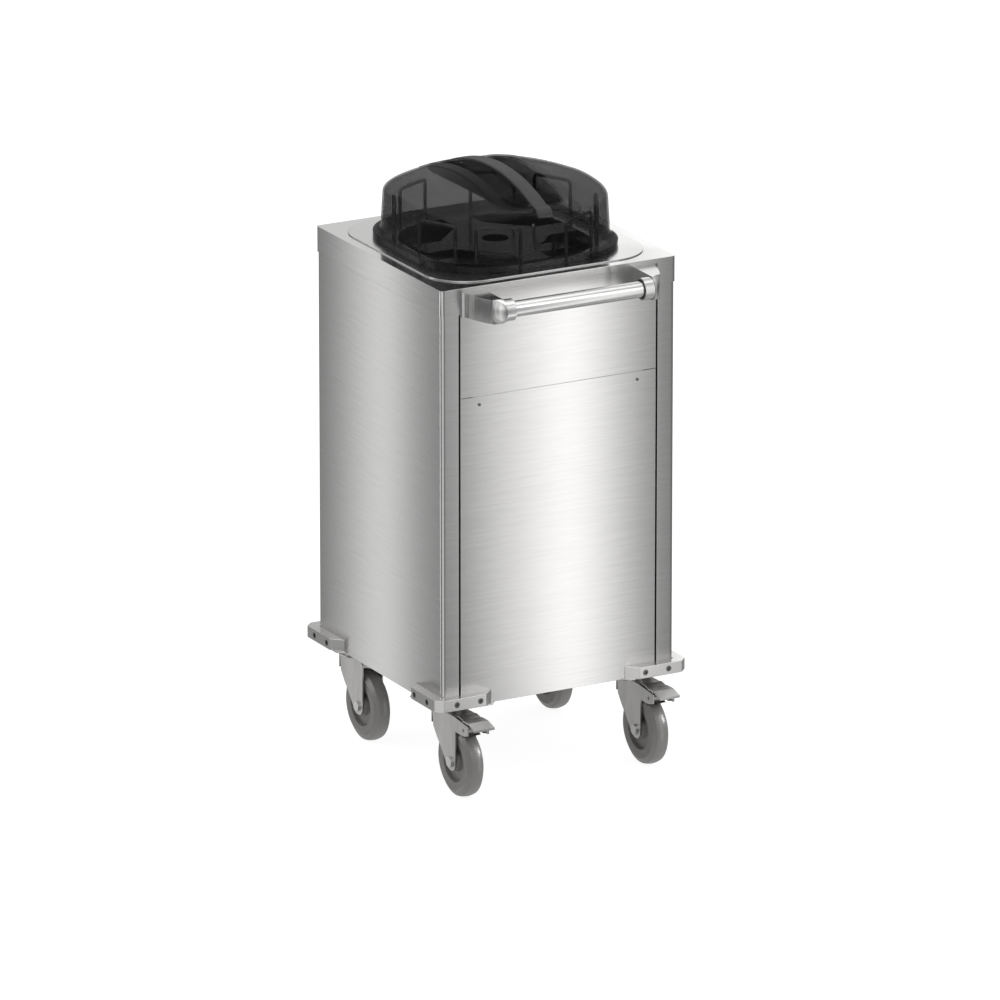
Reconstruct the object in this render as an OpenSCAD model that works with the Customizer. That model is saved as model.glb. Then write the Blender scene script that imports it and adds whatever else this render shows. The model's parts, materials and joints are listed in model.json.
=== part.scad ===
// Plate dispenser cart: a sprung plate lift in a stainless casing on four swivel casters,
// with a push handle on the front, corner bumpers and a lift-off smoked hood.
// The front, with the handle, faces -Y. The origin lies on the floor under the middle.

/* [Casing] */
// Width of the top cap, side to side
cap_w = 450; // [430:5:500]
// Depth of the top cap, front to back
cap_d = 450; // [430:5:500]
// Height of the cap's top face above the floor
cap_top_h = 900; // [850:10:950]
// Height of the cap's skirt
skirt_h = 45; // [42:1:60]
// Thickness of the cap's sheet
cap_t = 1.5; // [1:0.1:2]
// Radius of the cap's upright corners
cap_corner_r = 7; // [3:0.5:8]
// Height of the casing's lower edge above the floor
casing_h0 = 162; // [158:1:180]
// Thickness of the side, front and rear sheets
sheet_t = 1.2; // [1:0.1:1.5]
// Width of the strips that the side sheets fold round onto the front and rear
strip_w = 33; // [28:1:40]
// Depth of the inner lips of the side sheets
lip_d = 14; // [8:1:18]
// Open joint between the strips and the front panels
joint_w = 3; // [1:0.5:4]
// Height of the seam between the two front panels
seam_h = 706; // [600:5:760]
// Open joint at that seam
seam_w = 1; // [0.5:0.5:3]
// Height of the tab behind the seam
seam_tab_h = 28; // [20:1:40]
// Thickness of the base plate
base_t = 3; // [2:0.5:4]
// Height of the base plate's upturned edges
base_edge_h = 22; // [15:1:30]

/* [Top frame] */
// Outer size of the square top frame
frame_w = 410; // [400:5:424]
// Corner radius of the top frame
frame_r = 78; // [60:1:90]
// Thickness of the top frame
frame_t = 2; // [1.5:0.5:3]
// Overlap of the top frame on the cap
frame_lap = 10; // [6:1:12]
// Width of the top frame from its edge to the plate opening
frame_margin = 53; // [50:1:62]
// Length of the straight part of each of the plate opening's sides
opening_flat = 80; // [50:2:100]
// Depth of the turned-down edge of the plate opening
opening_lip_h = 18; // [10:1:24]

/* [Plate guides] */
// Distance from the opening's corners out to the circle that the guide loops stand on
guide_margin = 6.4; // [5:0.2:9]
// Diameter of the guide wire
guide_wire_d = 6; // [5:0.5:7]
// Height of the guide loops above the top frame
guide_h = 72; // [50:1:78]
// Radius of the bends in the guide loops
guide_bend_r = 8; // [6:1:12]
// Angle from the corner diagonal to a loop's inner leg
guide_inner_deg = 6; // [4:0.5:8]
// Angle from the corner diagonal to a loop's outer leg
guide_outer_deg = 30.5; // [26:0.5:32]
// Length of the threaded feet below the top frame
guide_foot_h = 14; // [10:1:20]

/* [Plate lift] */
// Width of the platform's four arms
arm_w = 52; // [40:1:64]
// Gap between the ends of the platform's arms and the edge of the opening
platform_gap = 7; // [5:0.5:20]
// Length of the platform's arms beyond its bevelled middle
arm_l = 27; // [20:1:45]
// Diameter of the hole in the middle of the platform
platform_hole_d = 46; // [30:1:60]
// Thickness of the platform
platform_t = 2; // [1.5:0.5:4]
// Height of the empty platform above the top frame
platform_rise = 3; // [1:1:6]
// Height of the rubber buffers that end the platform's travel
buffer_h = 17.2; // [10:0.2:60]
// Diameter of the guide rods
rod_d = 14; // [10:1:16]
// Distance of the guide rods from the middle, sideways
rod_x = 196; // [192:1:200]
// Distance of the guide rods from the middle, front to back
rod_y = 66; // [50:1:90]
// Height of the lift carriage
carriage_h = 128; // [110:1:150]
// Thickness of the carriage's plates
carriage_t = 3; // [2:0.5:5]
// Outer diameter of the lift springs
spring_d = 13; // [10:0.5:15]
// Diameter of the spring wire
spring_wire_d = 1.8; // [1.2:0.1:2.5]
// Spacing of the lift springs
spring_pitch = 30; // [22:1:36]

/* [Handle] */
// Diameter of the handle tube
tube_d = 28; // [24:1:30]
// Wall of the handle tube
tube_wall = 1.5; // [1:0.5:3]
// Distance from the skirt to the middle of the handle tube
handle_reach = 60; // [50:1:80]
// Depth of the handle tube's middle below the cap's top face
handle_drop = 29; // [28:1:32]
// Height of the handle brackets
bracket_h = 42; // [38:1:46]
// Distance from the cap's side to the handle bracket
bracket_inset = 45.5; // [40:0.5:60]
// Width of a bracket where it meets the skirt
bracket_w = 38; // [30:1:44]
// Radius of the bowed outer side of a bracket
bracket_bow_r = 150; // [120:5:300]
// Radius of the flare where a bracket meets the skirt
bracket_flare_r = 10; // [6:1:14]
// Diameter of the handle collars
collar_d = 38; // [34:1:42]
// Length of the handle collars
collar_l = 18; // [12:1:24]
// Diameter of the bolts that hold the brackets
bracket_bolt_d = 6; // [5:1:8]

/* [Hood] */
// Distance from the top frame's edge in to the hood's rim
hood_margin = 21.5; // [18:0.5:24]
// Length of the straight part of each side of the hood's rim
rim_flat = 137; // [110:1:150]
// Height of the hood's rim
hood_rim_h = 11; // [6:1:16]
// How far the hood's rim stands out past its wall
rim_flare = 5.5; // [3:0.5:7]
// Length of the straight part of each side of the hood's wall
hood_flat = 88; // [70:1:110]
// How far the hood's wall leans in, from its foot to its shoulder
wall_lean = 2; // [0:0.5:2.5]
// Height of the hood's shoulder above the top frame, in the middle of a side
hood_shoulder_h = 92; // [88:1:100]
// Rise of the dome above that height
dome_rise = 41; // [30:1:50]
// Wall of the hood
hood_wall = 3; // [2:0.5:4]
// Width of the hand recess in the dome
recess_w = 108; // [90:2:120]
// Distance from the hood's wall in to the ends of the hand recess
recess_margin = 17; // [15:1:30]
// Corner radius of the hand recess
recess_r = 34; // [24:1:42]
// Height of the recess's flat floor above the top frame
recess_floor_h = 98; // [94:1:108]
// Width of the raised border along the recess
border_w = 20; // [12:1:28]
// Rise of that border above the dome
border_rise = 1.2; // [0.6:0.2:2]
// Width of the grip strap over the recess
strap_w = 27; // [22:1:36]
// Thickness of the grip strap
strap_t = 9; // [6:0.5:10]
// Lift of the strap above the dome, in its middle
strap_lift = 1.5; // [0:0.5:6]

/* [Bumpers] */
// Length of a bumper's legs, from its outer corner
bumper_l = 114; // [90:1:130]
// How far the bumpers stand out from the casing
bumper_out = 19; // [12:1:26]
// Height of the bumpers
bumper_h = 21; // [16:1:30]
// Thickness of the lip under a bumper, which shows past its ends
bumper_lip_t = 2; // [1:0.5:4]
// Bevel across a bumper's outer corner
bumper_bevel = 12; // [6:1:18]
// Length of the slanted ends of a bumper's legs
bumper_slant = 20; // [10:1:30]
// Diameter of the bumper screws' heads
bumper_head_d = 10; // [8:1:12]
// Distance from the bumper's outer corner to its first screw
bumper_screw_a = 38; // [32:1:44]
// Distance from the bumper's outer corner to its second screw
bumper_screw_b = 83; // [70:1:90]

/* [Casters] */
// Distance between the swivel axes, side to side
caster_span_x = 358; // [340:1:362]
// Distance between the swivel axes, front to back
caster_span_y = 336; // [310:1:342]
// Diameter of the wheels
wheel_d = 125; // [100:5:125]
// Width of the wheels
wheel_w = 31; // [26:1:34]
// Distance from the swivel axis back to the wheel's axle
trail = 40; // [34:1:44]
// Length of the caster's top plate
caster_plate_l = 105; // [100:1:108]
// Width of the caster's top plate
caster_plate_w = 85; // [80:1:88]
// Thickness of the caster's top plate
caster_plate_t = 3; // [2:0.5:4]
// Diameter of the caster's ball race
race_d = 60; // [50:1:66]
// Height of the caster's ball race
race_h = 12; // [9:1:14]
// Thickness of the fork's sheet
fork_t = 2.5; // [2:0.5:4]
// Gap between the wheel and the fork's cheeks
fork_gap = 2.2; // [2:0.1:4]
// Radius of the fork's pressed shoulders
press_r = 8; // [5:0.5:10]
// Diameter of the wheel axle
axle_d = 12; // [8:1:14]
// Reach of the front forks' noses ahead of the swivel axis
nose_reach = 101; // [90:1:110]
// Height of those noses
nose_depth = 21; // [16:1:24]
// Drop of the noses' tips below the top of the fork
nose_drop = 4.5; // [4:0.5:8]
// Distance from a nose's tip back to the pin of the brake pedal
pedal_pin_inset = 15; // [12:1:18]
// Length of the brake pedal's tread plate, from its crease
pedal_l = 45; // [30:1:50]
// Length of the brake pedal's rear plate, behind the crease
pedal_rear_l = 31; // [20:1:31]
// Width of the brake pedal
pedal_w = 38; // [30:1:42]

/* [Hidden] */
$fn = 64;
steel = "gainsboro";
polished = "whitesmoke";
dark = "dimgray";
rubber = "darkgray";
// Overrun of every cut, and the running clearances
cut = 1;
run_gap = 0.3;
fit_gap = 0.05;
hole_gap = 0.2;

// Places in the casing
casing_w = cap_w - 2 * cap_t;
casing_d = cap_d - 2 * cap_t;
casing_top_h = cap_top_h - cap_t;
casing_corner_r = cap_corner_r;
inner_w = casing_w - 2 * sheet_t;
inner_d = casing_d - 2 * sheet_t;
panel_w = casing_w - 2 * strip_w - 2 * joint_w;
base_top_h = casing_h0 + base_t;
frame_top_h = cap_top_h + frame_t;
panel_flange_d = 12;
skirt_h0 = cap_top_h - skirt_h;
panel_screw_inset = 36;
panel_screw_x = panel_w / 2 - panel_screw_inset;
panel_screw_h = seam_h - seam_tab_h / 2;
panel_screw_d = 4;
panel_head_d = 5;

// Sizes in the top
opening_w = frame_w - 2 * frame_margin;
opening_r = (opening_w - opening_flat) / 2;
opening_reach = (opening_w / 2 - opening_r) * sqrt(2) + opening_r;
guide_circle_r = opening_reach + guide_margin;
hood_rim_w = frame_w - 2 * hood_margin;
hood_w = hood_rim_w - 2 * rim_flare;
hood_rim_r = (hood_rim_w - rim_flat) / 2;
hood_r = (hood_w - hood_flat) / 2;
recess_l = hood_w - 2 * recess_margin;

// Handle places
handle_span = cap_w - 2 * bracket_inset - 2 * bracket_w;
handle_y = -cap_d / 2 - handle_reach;
handle_h = cap_top_h - handle_drop;
bracket_bolt_gap = bracket_h / 2;
bracket_bolt_l = 26;
bracket_bolt_x = handle_span / 2 + bracket_w / 2 - 2 * bracket_bolt_d / 3;
bolt_head_d = 2 * bracket_bolt_d - 2 * bracket_bolt_d / 6;
bolt_head_h = bracket_bolt_d * 2 / 3;
seal_ring_w = collar_d / 2 - tube_d / 2 - 1.5 * tube_wall;
seal_ring_l = collar_l / 3;

// Lift places
arm_reach = opening_w / 2 - platform_gap;
hub_w = 2 * arm_reach - 2 * arm_l;
platform_top_h = frame_top_h + platform_rise;
carriage_top_h = cap_top_h - cap_t - opening_lip_h - 3 * frame_t;
carriage_h0 = carriage_top_h - carriage_h;
post_d = 14;
post_reach_share = 0.8;
sunk_head_h = 0.6 * platform_t;
beam_w = 40;
beam_h = 20;
cheek_x = rod_x - rod_d - 2 * carriage_t;
cheek_w = 2 * rod_y + 3 * rod_d;
bush_wall = 4;
bush_l = 24;
bush_flange_t = 3;
bush_d = rod_d + 2 * bush_wall;
bush_flange_d = bush_d + 2 * bush_flange_t;
rail_t = 4;
rail_h = carriage_top_h + run_gap;
rail_w = 2 * rod_y + 4 * rod_d;
rail_in_x = rod_x - rod_d;
foot_d = 2.5 * rod_d;
foot_h = 4;
buffer_d = 2 * rod_d;
spring_ys = [-spring_pitch, 0, spring_pitch];

// Hood places: heights of the wall's levels as shares of the rim's height, each with its
// share of the way in from the rim's outline to the shoulder's, and the dome's rings as
// shares of the way out from the recess's border to the shoulder
rim_shares = [[0, 0], [0.82, 0], [1, 0.14], [1.25, 0.55], [1.9, 0.9], [2.6, 1]];
dome_shares = [0.97, 0.9, 0.78, 0.64, 0.5, 0.36, 0.22, 0.1, 0];
floor_shares = [0.66, 0.33];
hood_spokes = 80;
shoulder_z = frame_top_h + hood_shoulder_h;
shoulder_bevel = 2 * hood_wall;
recess_z = frame_top_h + recess_floor_h;
recess_draft = hood_wall;
strap_steps = 24;
strap_across = 2;
strap_half_l = recess_l / 2 + recess_draft;

// Bumper, caster and wheel places
bumper_x = casing_w / 2 + bumper_out;
bumper_y = casing_d / 2 + bumper_out;
bumper_lip_l = 3 * bumper_lip_t;
bumper_screw_d = bumper_head_d * 0.6;
screw_past_l = 8;
bumper_screw_l = bumper_out + screw_past_l;
bumper_screw_h = casing_h0 + bumper_lip_t + bumper_h / 2;
bumper_head_sink = bumper_head_d * 0.4;
bumper_screw_offsets = [bumper_screw_a, bumper_screw_b];
wheel_r = wheel_d / 2;
caster_plate_h = casing_h0 - caster_plate_t;
fork_top_h = caster_plate_h - race_h - run_gap;
fork_in = wheel_w / 2 + fork_gap;
fork_out = fork_in + fork_t;
race_taper = 0.9;
head_d = race_d + 2 * fork_gap;
kingpin_d = 12;
kingpin_head_d = 22;
kingpin_head_h = 6;
axle_pad_r = 15;
fork_back_y = head_d / 2 - 1.6 * fork_t;
fork_front_y = -trail - axle_pad_r - fork_t;
// shares of the way from the fork's back to the axle, and from the axle to the fork's top
leg_back_shares = [[0, 1], [0.05, 0.86], [0.1, 0.56], [0.3, 0.36], [0.46, 0.23]];
press_run = 1.1 * trail;
nose_y = -nose_reach;
nose_h1 = fork_top_h - nose_drop;
nose_h0 = nose_h1 - nose_depth;
nose_round = nose_depth / 3;
blade_t = 1.5;
pedal_pin_y = nose_y + pedal_pin_inset;
pedal_pin_h = (nose_h0 + nose_h1) / 2;
pedal_pin_d = 6;
pedal_t = 2.5;
pedal_hub_r = pedal_pin_d * 1.25;
pedal_crease_y = nose_y + 3 * nose_round;
pedal_crease_h = fork_top_h + pedal_t / 2;
pedal_tip_drop = 2.2 * pedal_t;
pedal_web_gap = 0.5;
tread_crown_r = wheel_w * 0.9;
tread_half_w = wheel_w * 0.3;
rim_half_w = wheel_w * 0.47;
web_half_w = wheel_w * 0.25;
core_r = wheel_r * 0.76;
side_r = wheel_r * 0.83;
dish_r = wheel_r * 0.58;
hub_r = wheel_r * 0.26;
hub_step = hub_r / 8;
hub_half_w = fork_in - run_gap;
axle_head_t = 4;
plate_bolt_inset = 12.5;
plate_bolt_x = caster_plate_w / 2 - plate_bolt_inset;
plate_bolt_y = caster_plate_l / 2 - plate_bolt_inset;
plate_bolt_d = 8;

// Shift that puts the middle of the whole object's box over the origin
front_reach = -handle_y + bracket_h / 2;
body_y = (front_reach - bumper_y) / 2;

corner_names = ["front_left", "front_right", "rear_left", "rear_right"];
corner_signs = [[-1, -1], [1, -1], [-1, 1], [1, 1]];
braked = [true, true, false, false];

// Shared shapes
module at_body() {
    translate([0, body_y, 0]) children();
}

module rounded_rect(w, d, r) {
    square([w - 2 * r, d], center = true);
    square([w, d - 2 * r], center = true);
    for (sx = [-1, 1], sy = [-1, 1])
        translate([sx * (w / 2 - r), sy * (d / 2 - r)]) circle(r);
}

module slab(w, d, r, h0, h1) {
    translate([0, 0, h0]) linear_extrude(h1 - h0) rounded_rect(w, d, r);
}

module block(x0, x1, y0, y1, z0, z1) {
    translate([x0, y0, z0]) cube([x1 - x0, y1 - y0, z1 - z0]);
}

module upright(x, y, d, z0, z1) {
    translate([x, y, z0]) cylinder(h = z1 - z0, d = d);
}

// A bar along X at height z
module cross_bar(x0, x1, y, z, d) {
    translate([x0, y, z]) rotate([0, 90, 0]) cylinder(h = x1 - x0, d = d);
}

// A bar along Y, from y0 to y1
module long_bar(x, y0, y1, z, d) {
    translate([x, y1, z]) rotate([90, 0, 0]) cylinder(h = y1 - y0, d = d);
}

// Casing
module top_cap() {
    color(steel) at_body() difference() {
        slab(cap_w, cap_d, cap_corner_r, skirt_h0, cap_top_h);
        slab(casing_w, casing_d, cap_corner_r - cap_t, skirt_h0 - cut, casing_top_h);
        slab(frame_w - 2 * frame_lap, frame_w - 2 * frame_lap, frame_r - frame_lap,
             casing_top_h - cut, cap_top_h + cut);
        bracket_bolt_holes();
    }
}

module bracket_bolt_holes() {
    for (sx = [-1, 1], sz = [-1, 1])
        long_bar(sx * bracket_bolt_x, -cap_d / 2 - cut, -casing_d / 2 + sheet_t + cut,
                 handle_h + sz * bracket_bolt_gap / 2, bracket_bolt_d + 2 * hole_gap);
}

module top_frame() {
    color(polished) at_body() difference() {
        union() {
            slab(frame_w, frame_w, frame_r, cap_top_h, frame_top_h);
            slab(opening_w, opening_w, opening_r, frame_top_h - opening_lip_h, cap_top_h);
        }
        slab(opening_w - 2 * cap_t, opening_w - 2 * cap_t, opening_r - cap_t,
             frame_top_h - opening_lip_h - cut, frame_top_h + cut);
        for (k = [0:3]) for (a = guide_leg_angles(k))
            upright(guide_circle_r * cos(a), guide_circle_r * sin(a),
                    guide_wire_d + 2 * hole_gap, cap_top_h - cut, frame_top_h + cut);
    }
}

// A side sheet with its front and rear strips and their inner lips, for the right-hand side
module side_sheet() {
    strip_x = casing_w / 2 - strip_w;
    union() {
        difference() {
            slab(casing_w, casing_d, casing_corner_r, casing_h0, casing_top_h);
            slab(inner_w, inner_d, casing_corner_r - sheet_t, casing_h0 - cut, casing_top_h + cut);
            block(-casing_w, strip_x, -casing_d, casing_d, casing_h0 - cut, casing_top_h + cut);
        }
        for (sy = [-1, 1]) translate([0, sy * (casing_d / 2 - lip_d / 2), 0])
            block(strip_x, strip_x + sheet_t, -lip_d / 2, lip_d / 2,
                  base_top_h + run_gap, casing_top_h);
    }
}

module side_screw_holes() {
    for (sx = [-1, 1], sy = [-1, 1]) bumper_screw_holes(sx, sy);
}

module left_side_panel() {
    color(steel) at_body() difference() {
        mirror([1, 0, 0]) side_sheet();
        side_screw_holes();
    }
}

module right_side_panel() {
    color(steel) at_body() difference() {
        side_sheet();
        side_screw_holes();
    }
}

// A flat panel with side flanges bent inward, facing -Y
module face_panel(h0, h1) {
    y0 = -casing_d / 2;
    block(-panel_w / 2, panel_w / 2, y0, y0 + sheet_t, h0, h1);
    for (sx = [-1, 1]) translate([sx * (panel_w / 2 - sheet_t / 2), 0, 0])
        block(-sheet_t / 2, sheet_t / 2, y0, y0 + panel_flange_d,
              max(h0, base_top_h + run_gap), h1);
}

module upper_front_panel() {
    y0 = -casing_d / 2;
    color(steel) at_body() difference() {
        union() {
            face_panel(seam_h + seam_w, casing_top_h);
            // return flange at the seam, and the tab that backs the lower panel
            block(-panel_w / 2, panel_w / 2, y0, y0 + 2 * sheet_t,
                  seam_h + seam_w, seam_h + seam_w + sheet_t);
            block(-panel_w / 2 + 2 * panel_flange_d, panel_w / 2 - 2 * panel_flange_d,
                  y0 + sheet_t, y0 + 2 * sheet_t, seam_h - seam_tab_h, seam_h + seam_w + sheet_t);
        }
        bracket_bolt_holes();
        panel_screw_holes();
    }
}

module panel_screw_holes() {
    for (sx = [-1, 1])
        long_bar(sx * panel_screw_x, -casing_d / 2 - cut, -casing_d / 2 + 2 * sheet_t + cut,
                 panel_screw_h, panel_screw_d + 2 * hole_gap);
}

module lower_front_panel() {
    color(steel) at_body() difference() {
        face_panel(casing_h0, seam_h);
        panel_screw_holes();
        side_screw_holes();
    }
}

module rear_panel() {
    color(steel) at_body() difference() {
        mirror([0, 1, 0]) face_panel(casing_h0, casing_top_h);
        side_screw_holes();
    }
}

module base_plate() {
    edge_w = panel_w - 2 * panel_flange_d;
    edge_d = inner_d - 2 * strip_w;
    color(steel) at_body() difference() {
        union() {
            slab(inner_w, inner_d, casing_corner_r, casing_h0, base_top_h);
            for (sy = [-1, 1]) translate([0, sy * (inner_d / 2 - base_t / 2), 0])
                block(-edge_w / 2, edge_w / 2, -base_t / 2, base_t / 2,
                      casing_h0, base_top_h + base_edge_h);
            for (sx = [-1, 1]) translate([sx * (inner_w / 2 - base_t / 2), 0, 0])
                block(-base_t / 2, base_t / 2, -edge_d / 2, edge_d / 2,
                      casing_h0, base_top_h + base_edge_h);
        }
        side_screw_holes();
        for (c = corner_signs) plate_bolt_holes(c);
    }
}

// Bumpers
// An L round a casing corner, with its outer corner at x, y and legs of the given length
module bumper_outline(x, y, leg, bevel, slant) {
    back = bumper_out;
    inset = bumper_out - (bumper_x - x);
    polygon([[x - bevel, y], [x - leg + slant, y], [x - leg, y - inset],
             [bumper_x - back, bumper_y - back], [x - inset, y - leg], [x, y - leg + slant],
             [x, y - bevel]]);
}

module bumper(i) {
    sx = corner_signs[i][0];
    sy = corner_signs[i][1];
    lip_in = bumper_out * 0.3;
    color("silver") at_body() difference() {
        at_corner(sx, sy) union() {
            translate([0, 0, casing_h0 + bumper_lip_t]) linear_extrude(bumper_h)
                bumper_outline(bumper_x, bumper_y, bumper_l, bumper_bevel, bumper_slant);
            translate([0, 0, casing_h0]) linear_extrude(bumper_lip_t)
                bumper_outline(bumper_x - lip_in, bumper_y - lip_in,
                               bumper_l - lip_in + bumper_lip_l, bumper_bevel,
                               bumper_slant / 2);
        }
        bumper_screw_holes(sx, sy);
        bumper_head_holes(sx, sy);
    }
}

// Puts what is drawn at the +X +Y corner at the corner with the given signs
module at_corner(sx, sy) {
    mirror([sx < 0 ? 1 : 0, 0, 0]) mirror([0, sy < 0 ? 1 : 0, 0]) children();
}

module bumper_screw_holes(sx, sy) {
    at_corner(sx, sy) for (a = bumper_screw_offsets) {
        long_bar(bumper_x - a, bumper_y - bumper_screw_l - cut, bumper_y + cut,
                 bumper_screw_h, bumper_screw_d + 2 * hole_gap);
        cross_bar(bumper_x - bumper_screw_l - cut, bumper_x + cut, bumper_y - a,
                  bumper_screw_h, bumper_screw_d + 2 * hole_gap);
    }
}

module bumper_head_holes(sx, sy) {
    at_corner(sx, sy) for (a = bumper_screw_offsets) {
        long_bar(bumper_x - a, bumper_y - bumper_head_sink, bumper_y + cut,
                 bumper_screw_h, bumper_head_d + 2 * hole_gap);
        cross_bar(bumper_x - bumper_head_sink, bumper_x + cut, bumper_y - a,
                  bumper_screw_h, bumper_head_d + 2 * hole_gap);
    }
}

// A socket-head screw whose head's face is at the origin and whose shank runs along -Y
module socket_screw(head_d, head_h, shank_d, length) {
    difference() {
        union() {
            long_bar(0, -head_h, 0, 0, head_d);
            long_bar(0, -length, -head_h / 2, 0, shank_d);
        }
        rotate([90, 0, 0]) translate([0, 0, -cut])
            cylinder(h = head_h * 0.6 + cut, d = head_d * 0.55, $fn = 6);
    }
}

module bumper_screws() {
    color(dark) at_body() for (c = corner_signs) at_corner(c[0], c[1])
        for (a = bumper_screw_offsets) {
            translate([bumper_x - a, bumper_y, bumper_screw_h])
                socket_screw(bumper_head_d, bumper_head_sink, bumper_screw_d, bumper_screw_l);
            translate([bumper_x, bumper_y - a, bumper_screw_h]) rotate([0, 0, -90])
                socket_screw(bumper_head_d, bumper_head_sink, bumper_screw_d, bumper_screw_l);
        }
}

module panel_screws() {
    color(dark) at_body() for (sx = [-1, 1])
        translate([sx * panel_screw_x, -casing_d / 2 - sheet_t, panel_screw_h])
            rotate([0, 0, 180])
                socket_screw(panel_head_d, sheet_t, panel_screw_d, 4 * panel_screw_d);
}

// Handle
module bracket_plan() {
    // Plan of the right-hand bracket: straight inner side, bowed and tapered outer side
    x0 = handle_span / 2;
    x1 = x0 + bracket_w;
    tip_y = handle_y - bracket_h / 2;
    y0 = -cap_d / 2;
    half_chord = norm([x1 - x0 - 2 * tube_wall, y0 - tip_y]) / 2;
    mid = [(x1 + x0 + 2 * tube_wall) / 2, (y0 + tip_y) / 2];
    dir = [x1 - x0 - 2 * tube_wall, y0 - tip_y] / (2 * half_chord);
    sag = sqrt(bracket_bow_r * bracket_bow_r - half_chord * half_chord);
    intersection() {
        translate([x0, tip_y]) square([2 * bracket_w, y0 - tip_y]);
        translate([mid[0] - sag * dir[1], mid[1] + sag * dir[0]]) circle(bracket_bow_r, $fn = 180);
    }
    // flare against the skirt
    difference() {
        translate([x1 - bracket_flare_r, y0 - bracket_flare_r])
            square([2 * bracket_flare_r, bracket_flare_r]);
        translate([x1 + bracket_flare_r, y0 - bracket_flare_r]) circle(bracket_flare_r);
    }
}

module handle_bracket() {
    difference() {
        intersection() {
            translate([0, 0, handle_h - bracket_h / 2]) linear_extrude(bracket_h) bracket_plan();
            union() {
                cross_bar(0, cap_w, handle_y, handle_h, bracket_h);
                block(0, cap_w, handle_y, -cap_d / 2, handle_h - bracket_h / 2,
                      handle_h + bracket_h / 2);
            }
        }
        for (sz = [-1, 1])
            long_bar(bracket_bolt_x, -cap_d / 2 - bracket_bolt_l, -cap_d / 2 + cut,
                     handle_h + sz * bracket_bolt_gap / 2, bracket_bolt_d + 2 * hole_gap);
    }
}

module handle_bracket_left() {
    color(polished) at_body() mirror([1, 0, 0]) handle_bracket();
}

module handle_bracket_right() {
    color(polished) at_body() handle_bracket();
}

module handle_tube() {
    color(polished) at_body() difference() {
        cross_bar(-handle_span / 2, handle_span / 2, handle_y, handle_h, tube_d);
        cross_bar(-handle_span / 2 - cut, handle_span / 2 + cut, handle_y, handle_h,
                  tube_d - 2 * tube_wall);
    }
}

module handle_collars() {
    x1 = handle_span / 2;
    color(polished) at_body() for (s = [0, 1]) mirror([s, 0, 0]) difference() {
        cross_bar(x1 - collar_l, x1, handle_y, handle_h, collar_d);
        cross_bar(x1 - collar_l - cut, x1 + cut, handle_y, handle_h, tube_d + 2 * fit_gap);
        cross_bar(x1 - collar_l - cut, x1 - collar_l + seal_ring_l, handle_y, handle_h,
                  tube_d + 2 * seal_ring_w + 2 * fit_gap);
    }
}

module handle_seal_rings() {
    x0 = handle_span / 2 - collar_l;
    color("black") at_body() for (s = [0, 1]) mirror([s, 0, 0]) difference() {
        cross_bar(x0, x0 + seal_ring_l, handle_y, handle_h, tube_d + 2 * seal_ring_w);
        cross_bar(x0 - cut, x0 + seal_ring_l + cut, handle_y, handle_h, tube_d + 2 * fit_gap);
    }
}

module handle_bolts() {
    y1 = -casing_d / 2 + sheet_t;
    color(dark) at_body() for (sx = [-1, 1], sz = [-1, 1])
        translate([sx * bracket_bolt_x, y1 + bolt_head_h, handle_h + sz * bracket_bolt_gap / 2])
            socket_screw(bolt_head_d, bolt_head_h, bracket_bolt_d,
                         bolt_head_h + bracket_bolt_l);
}

// Plate guides
function guide_leg_angles(k) = [
    for (s = [-1, 1], a = [guide_inner_deg, guide_outer_deg]) 45 + 90 * k + s * a];
corner_quadrants = [2, 3, 1, 0];

module guide_loop(a0, a1) {
    p0 = guide_circle_r * [cos(a0), sin(a0)];
    p1 = guide_circle_r * [cos(a1), sin(a1)];
    span = norm(p1 - p0);
    top_h = frame_top_h + guide_h - guide_wire_d / 2;
    bend_h = top_h - guide_bend_r;
    translate([p0[0], p0[1], 0]) rotate([0, 0, atan2(p1[1] - p0[1], p1[0] - p0[0])]) {
        for (x = [0, span])
            upright(x, 0, guide_wire_d, frame_top_h - frame_t - guide_foot_h, bend_h);
        cross_bar(guide_bend_r, span - guide_bend_r, 0, top_h, guide_wire_d);
        translate([guide_bend_r, 0, bend_h]) guide_bend();
        translate([span - guide_bend_r, 0, bend_h]) mirror([1, 0, 0]) guide_bend();
    }
}

// Quarter bend from the leg's top, at -X, to the bar's start, at +Z
module guide_bend() {
    rotate([90, 0, 0]) rotate([0, 0, 90]) rotate_extrude(angle = 90)
        translate([guide_bend_r, 0]) circle(d = guide_wire_d, $fn = 32);
}

module plate_guides(i) {
    mid = 45 + 90 * corner_quadrants[i];
    color(polished) at_body() for (s = [-1, 1])
        guide_loop(mid + s * guide_inner_deg, mid + s * guide_outer_deg);
}

module guide_nuts() {
    nut_h = guide_wire_d * 0.8;
    color(dark) at_body() for (k = [0:3]) for (a = guide_leg_angles(k))
        rotate([0, 0, a]) translate([guide_circle_r, 0, cap_top_h - nut_h]) difference() {
            cylinder(h = nut_h, d = guide_wire_d * 1.9, $fn = 6);
            translate([0, 0, -cut])
                cylinder(h = nut_h + 2 * cut, d = guide_wire_d + 2 * fit_gap);
        }
}

// Plate lift
// Each rod stands on a welded foot disc and ends in the spring rail
module guide_rods() {
    color(polished) at_body() for (sx = [-1, 1], sy = [-1, 1]) {
        upright(sx * rod_x, sy * rod_y, rod_d, base_top_h, rail_h + rail_t);
        upright(sx * rod_x, sy * rod_y, foot_d, base_top_h, base_top_h + foot_h);
    }
}

module rod_buffers() {
    color("black") at_body() for (sx = [-1, 1], sy = [-1, 1])
        translate([sx * rod_x, sy * rod_y, base_top_h + foot_h]) difference() {
            cylinder(h = buffer_h, d = buffer_d);
            translate([0, 0, -cut]) cylinder(h = buffer_h + 2 * cut, d = rod_d + 2 * fit_gap);
        }
}

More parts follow.
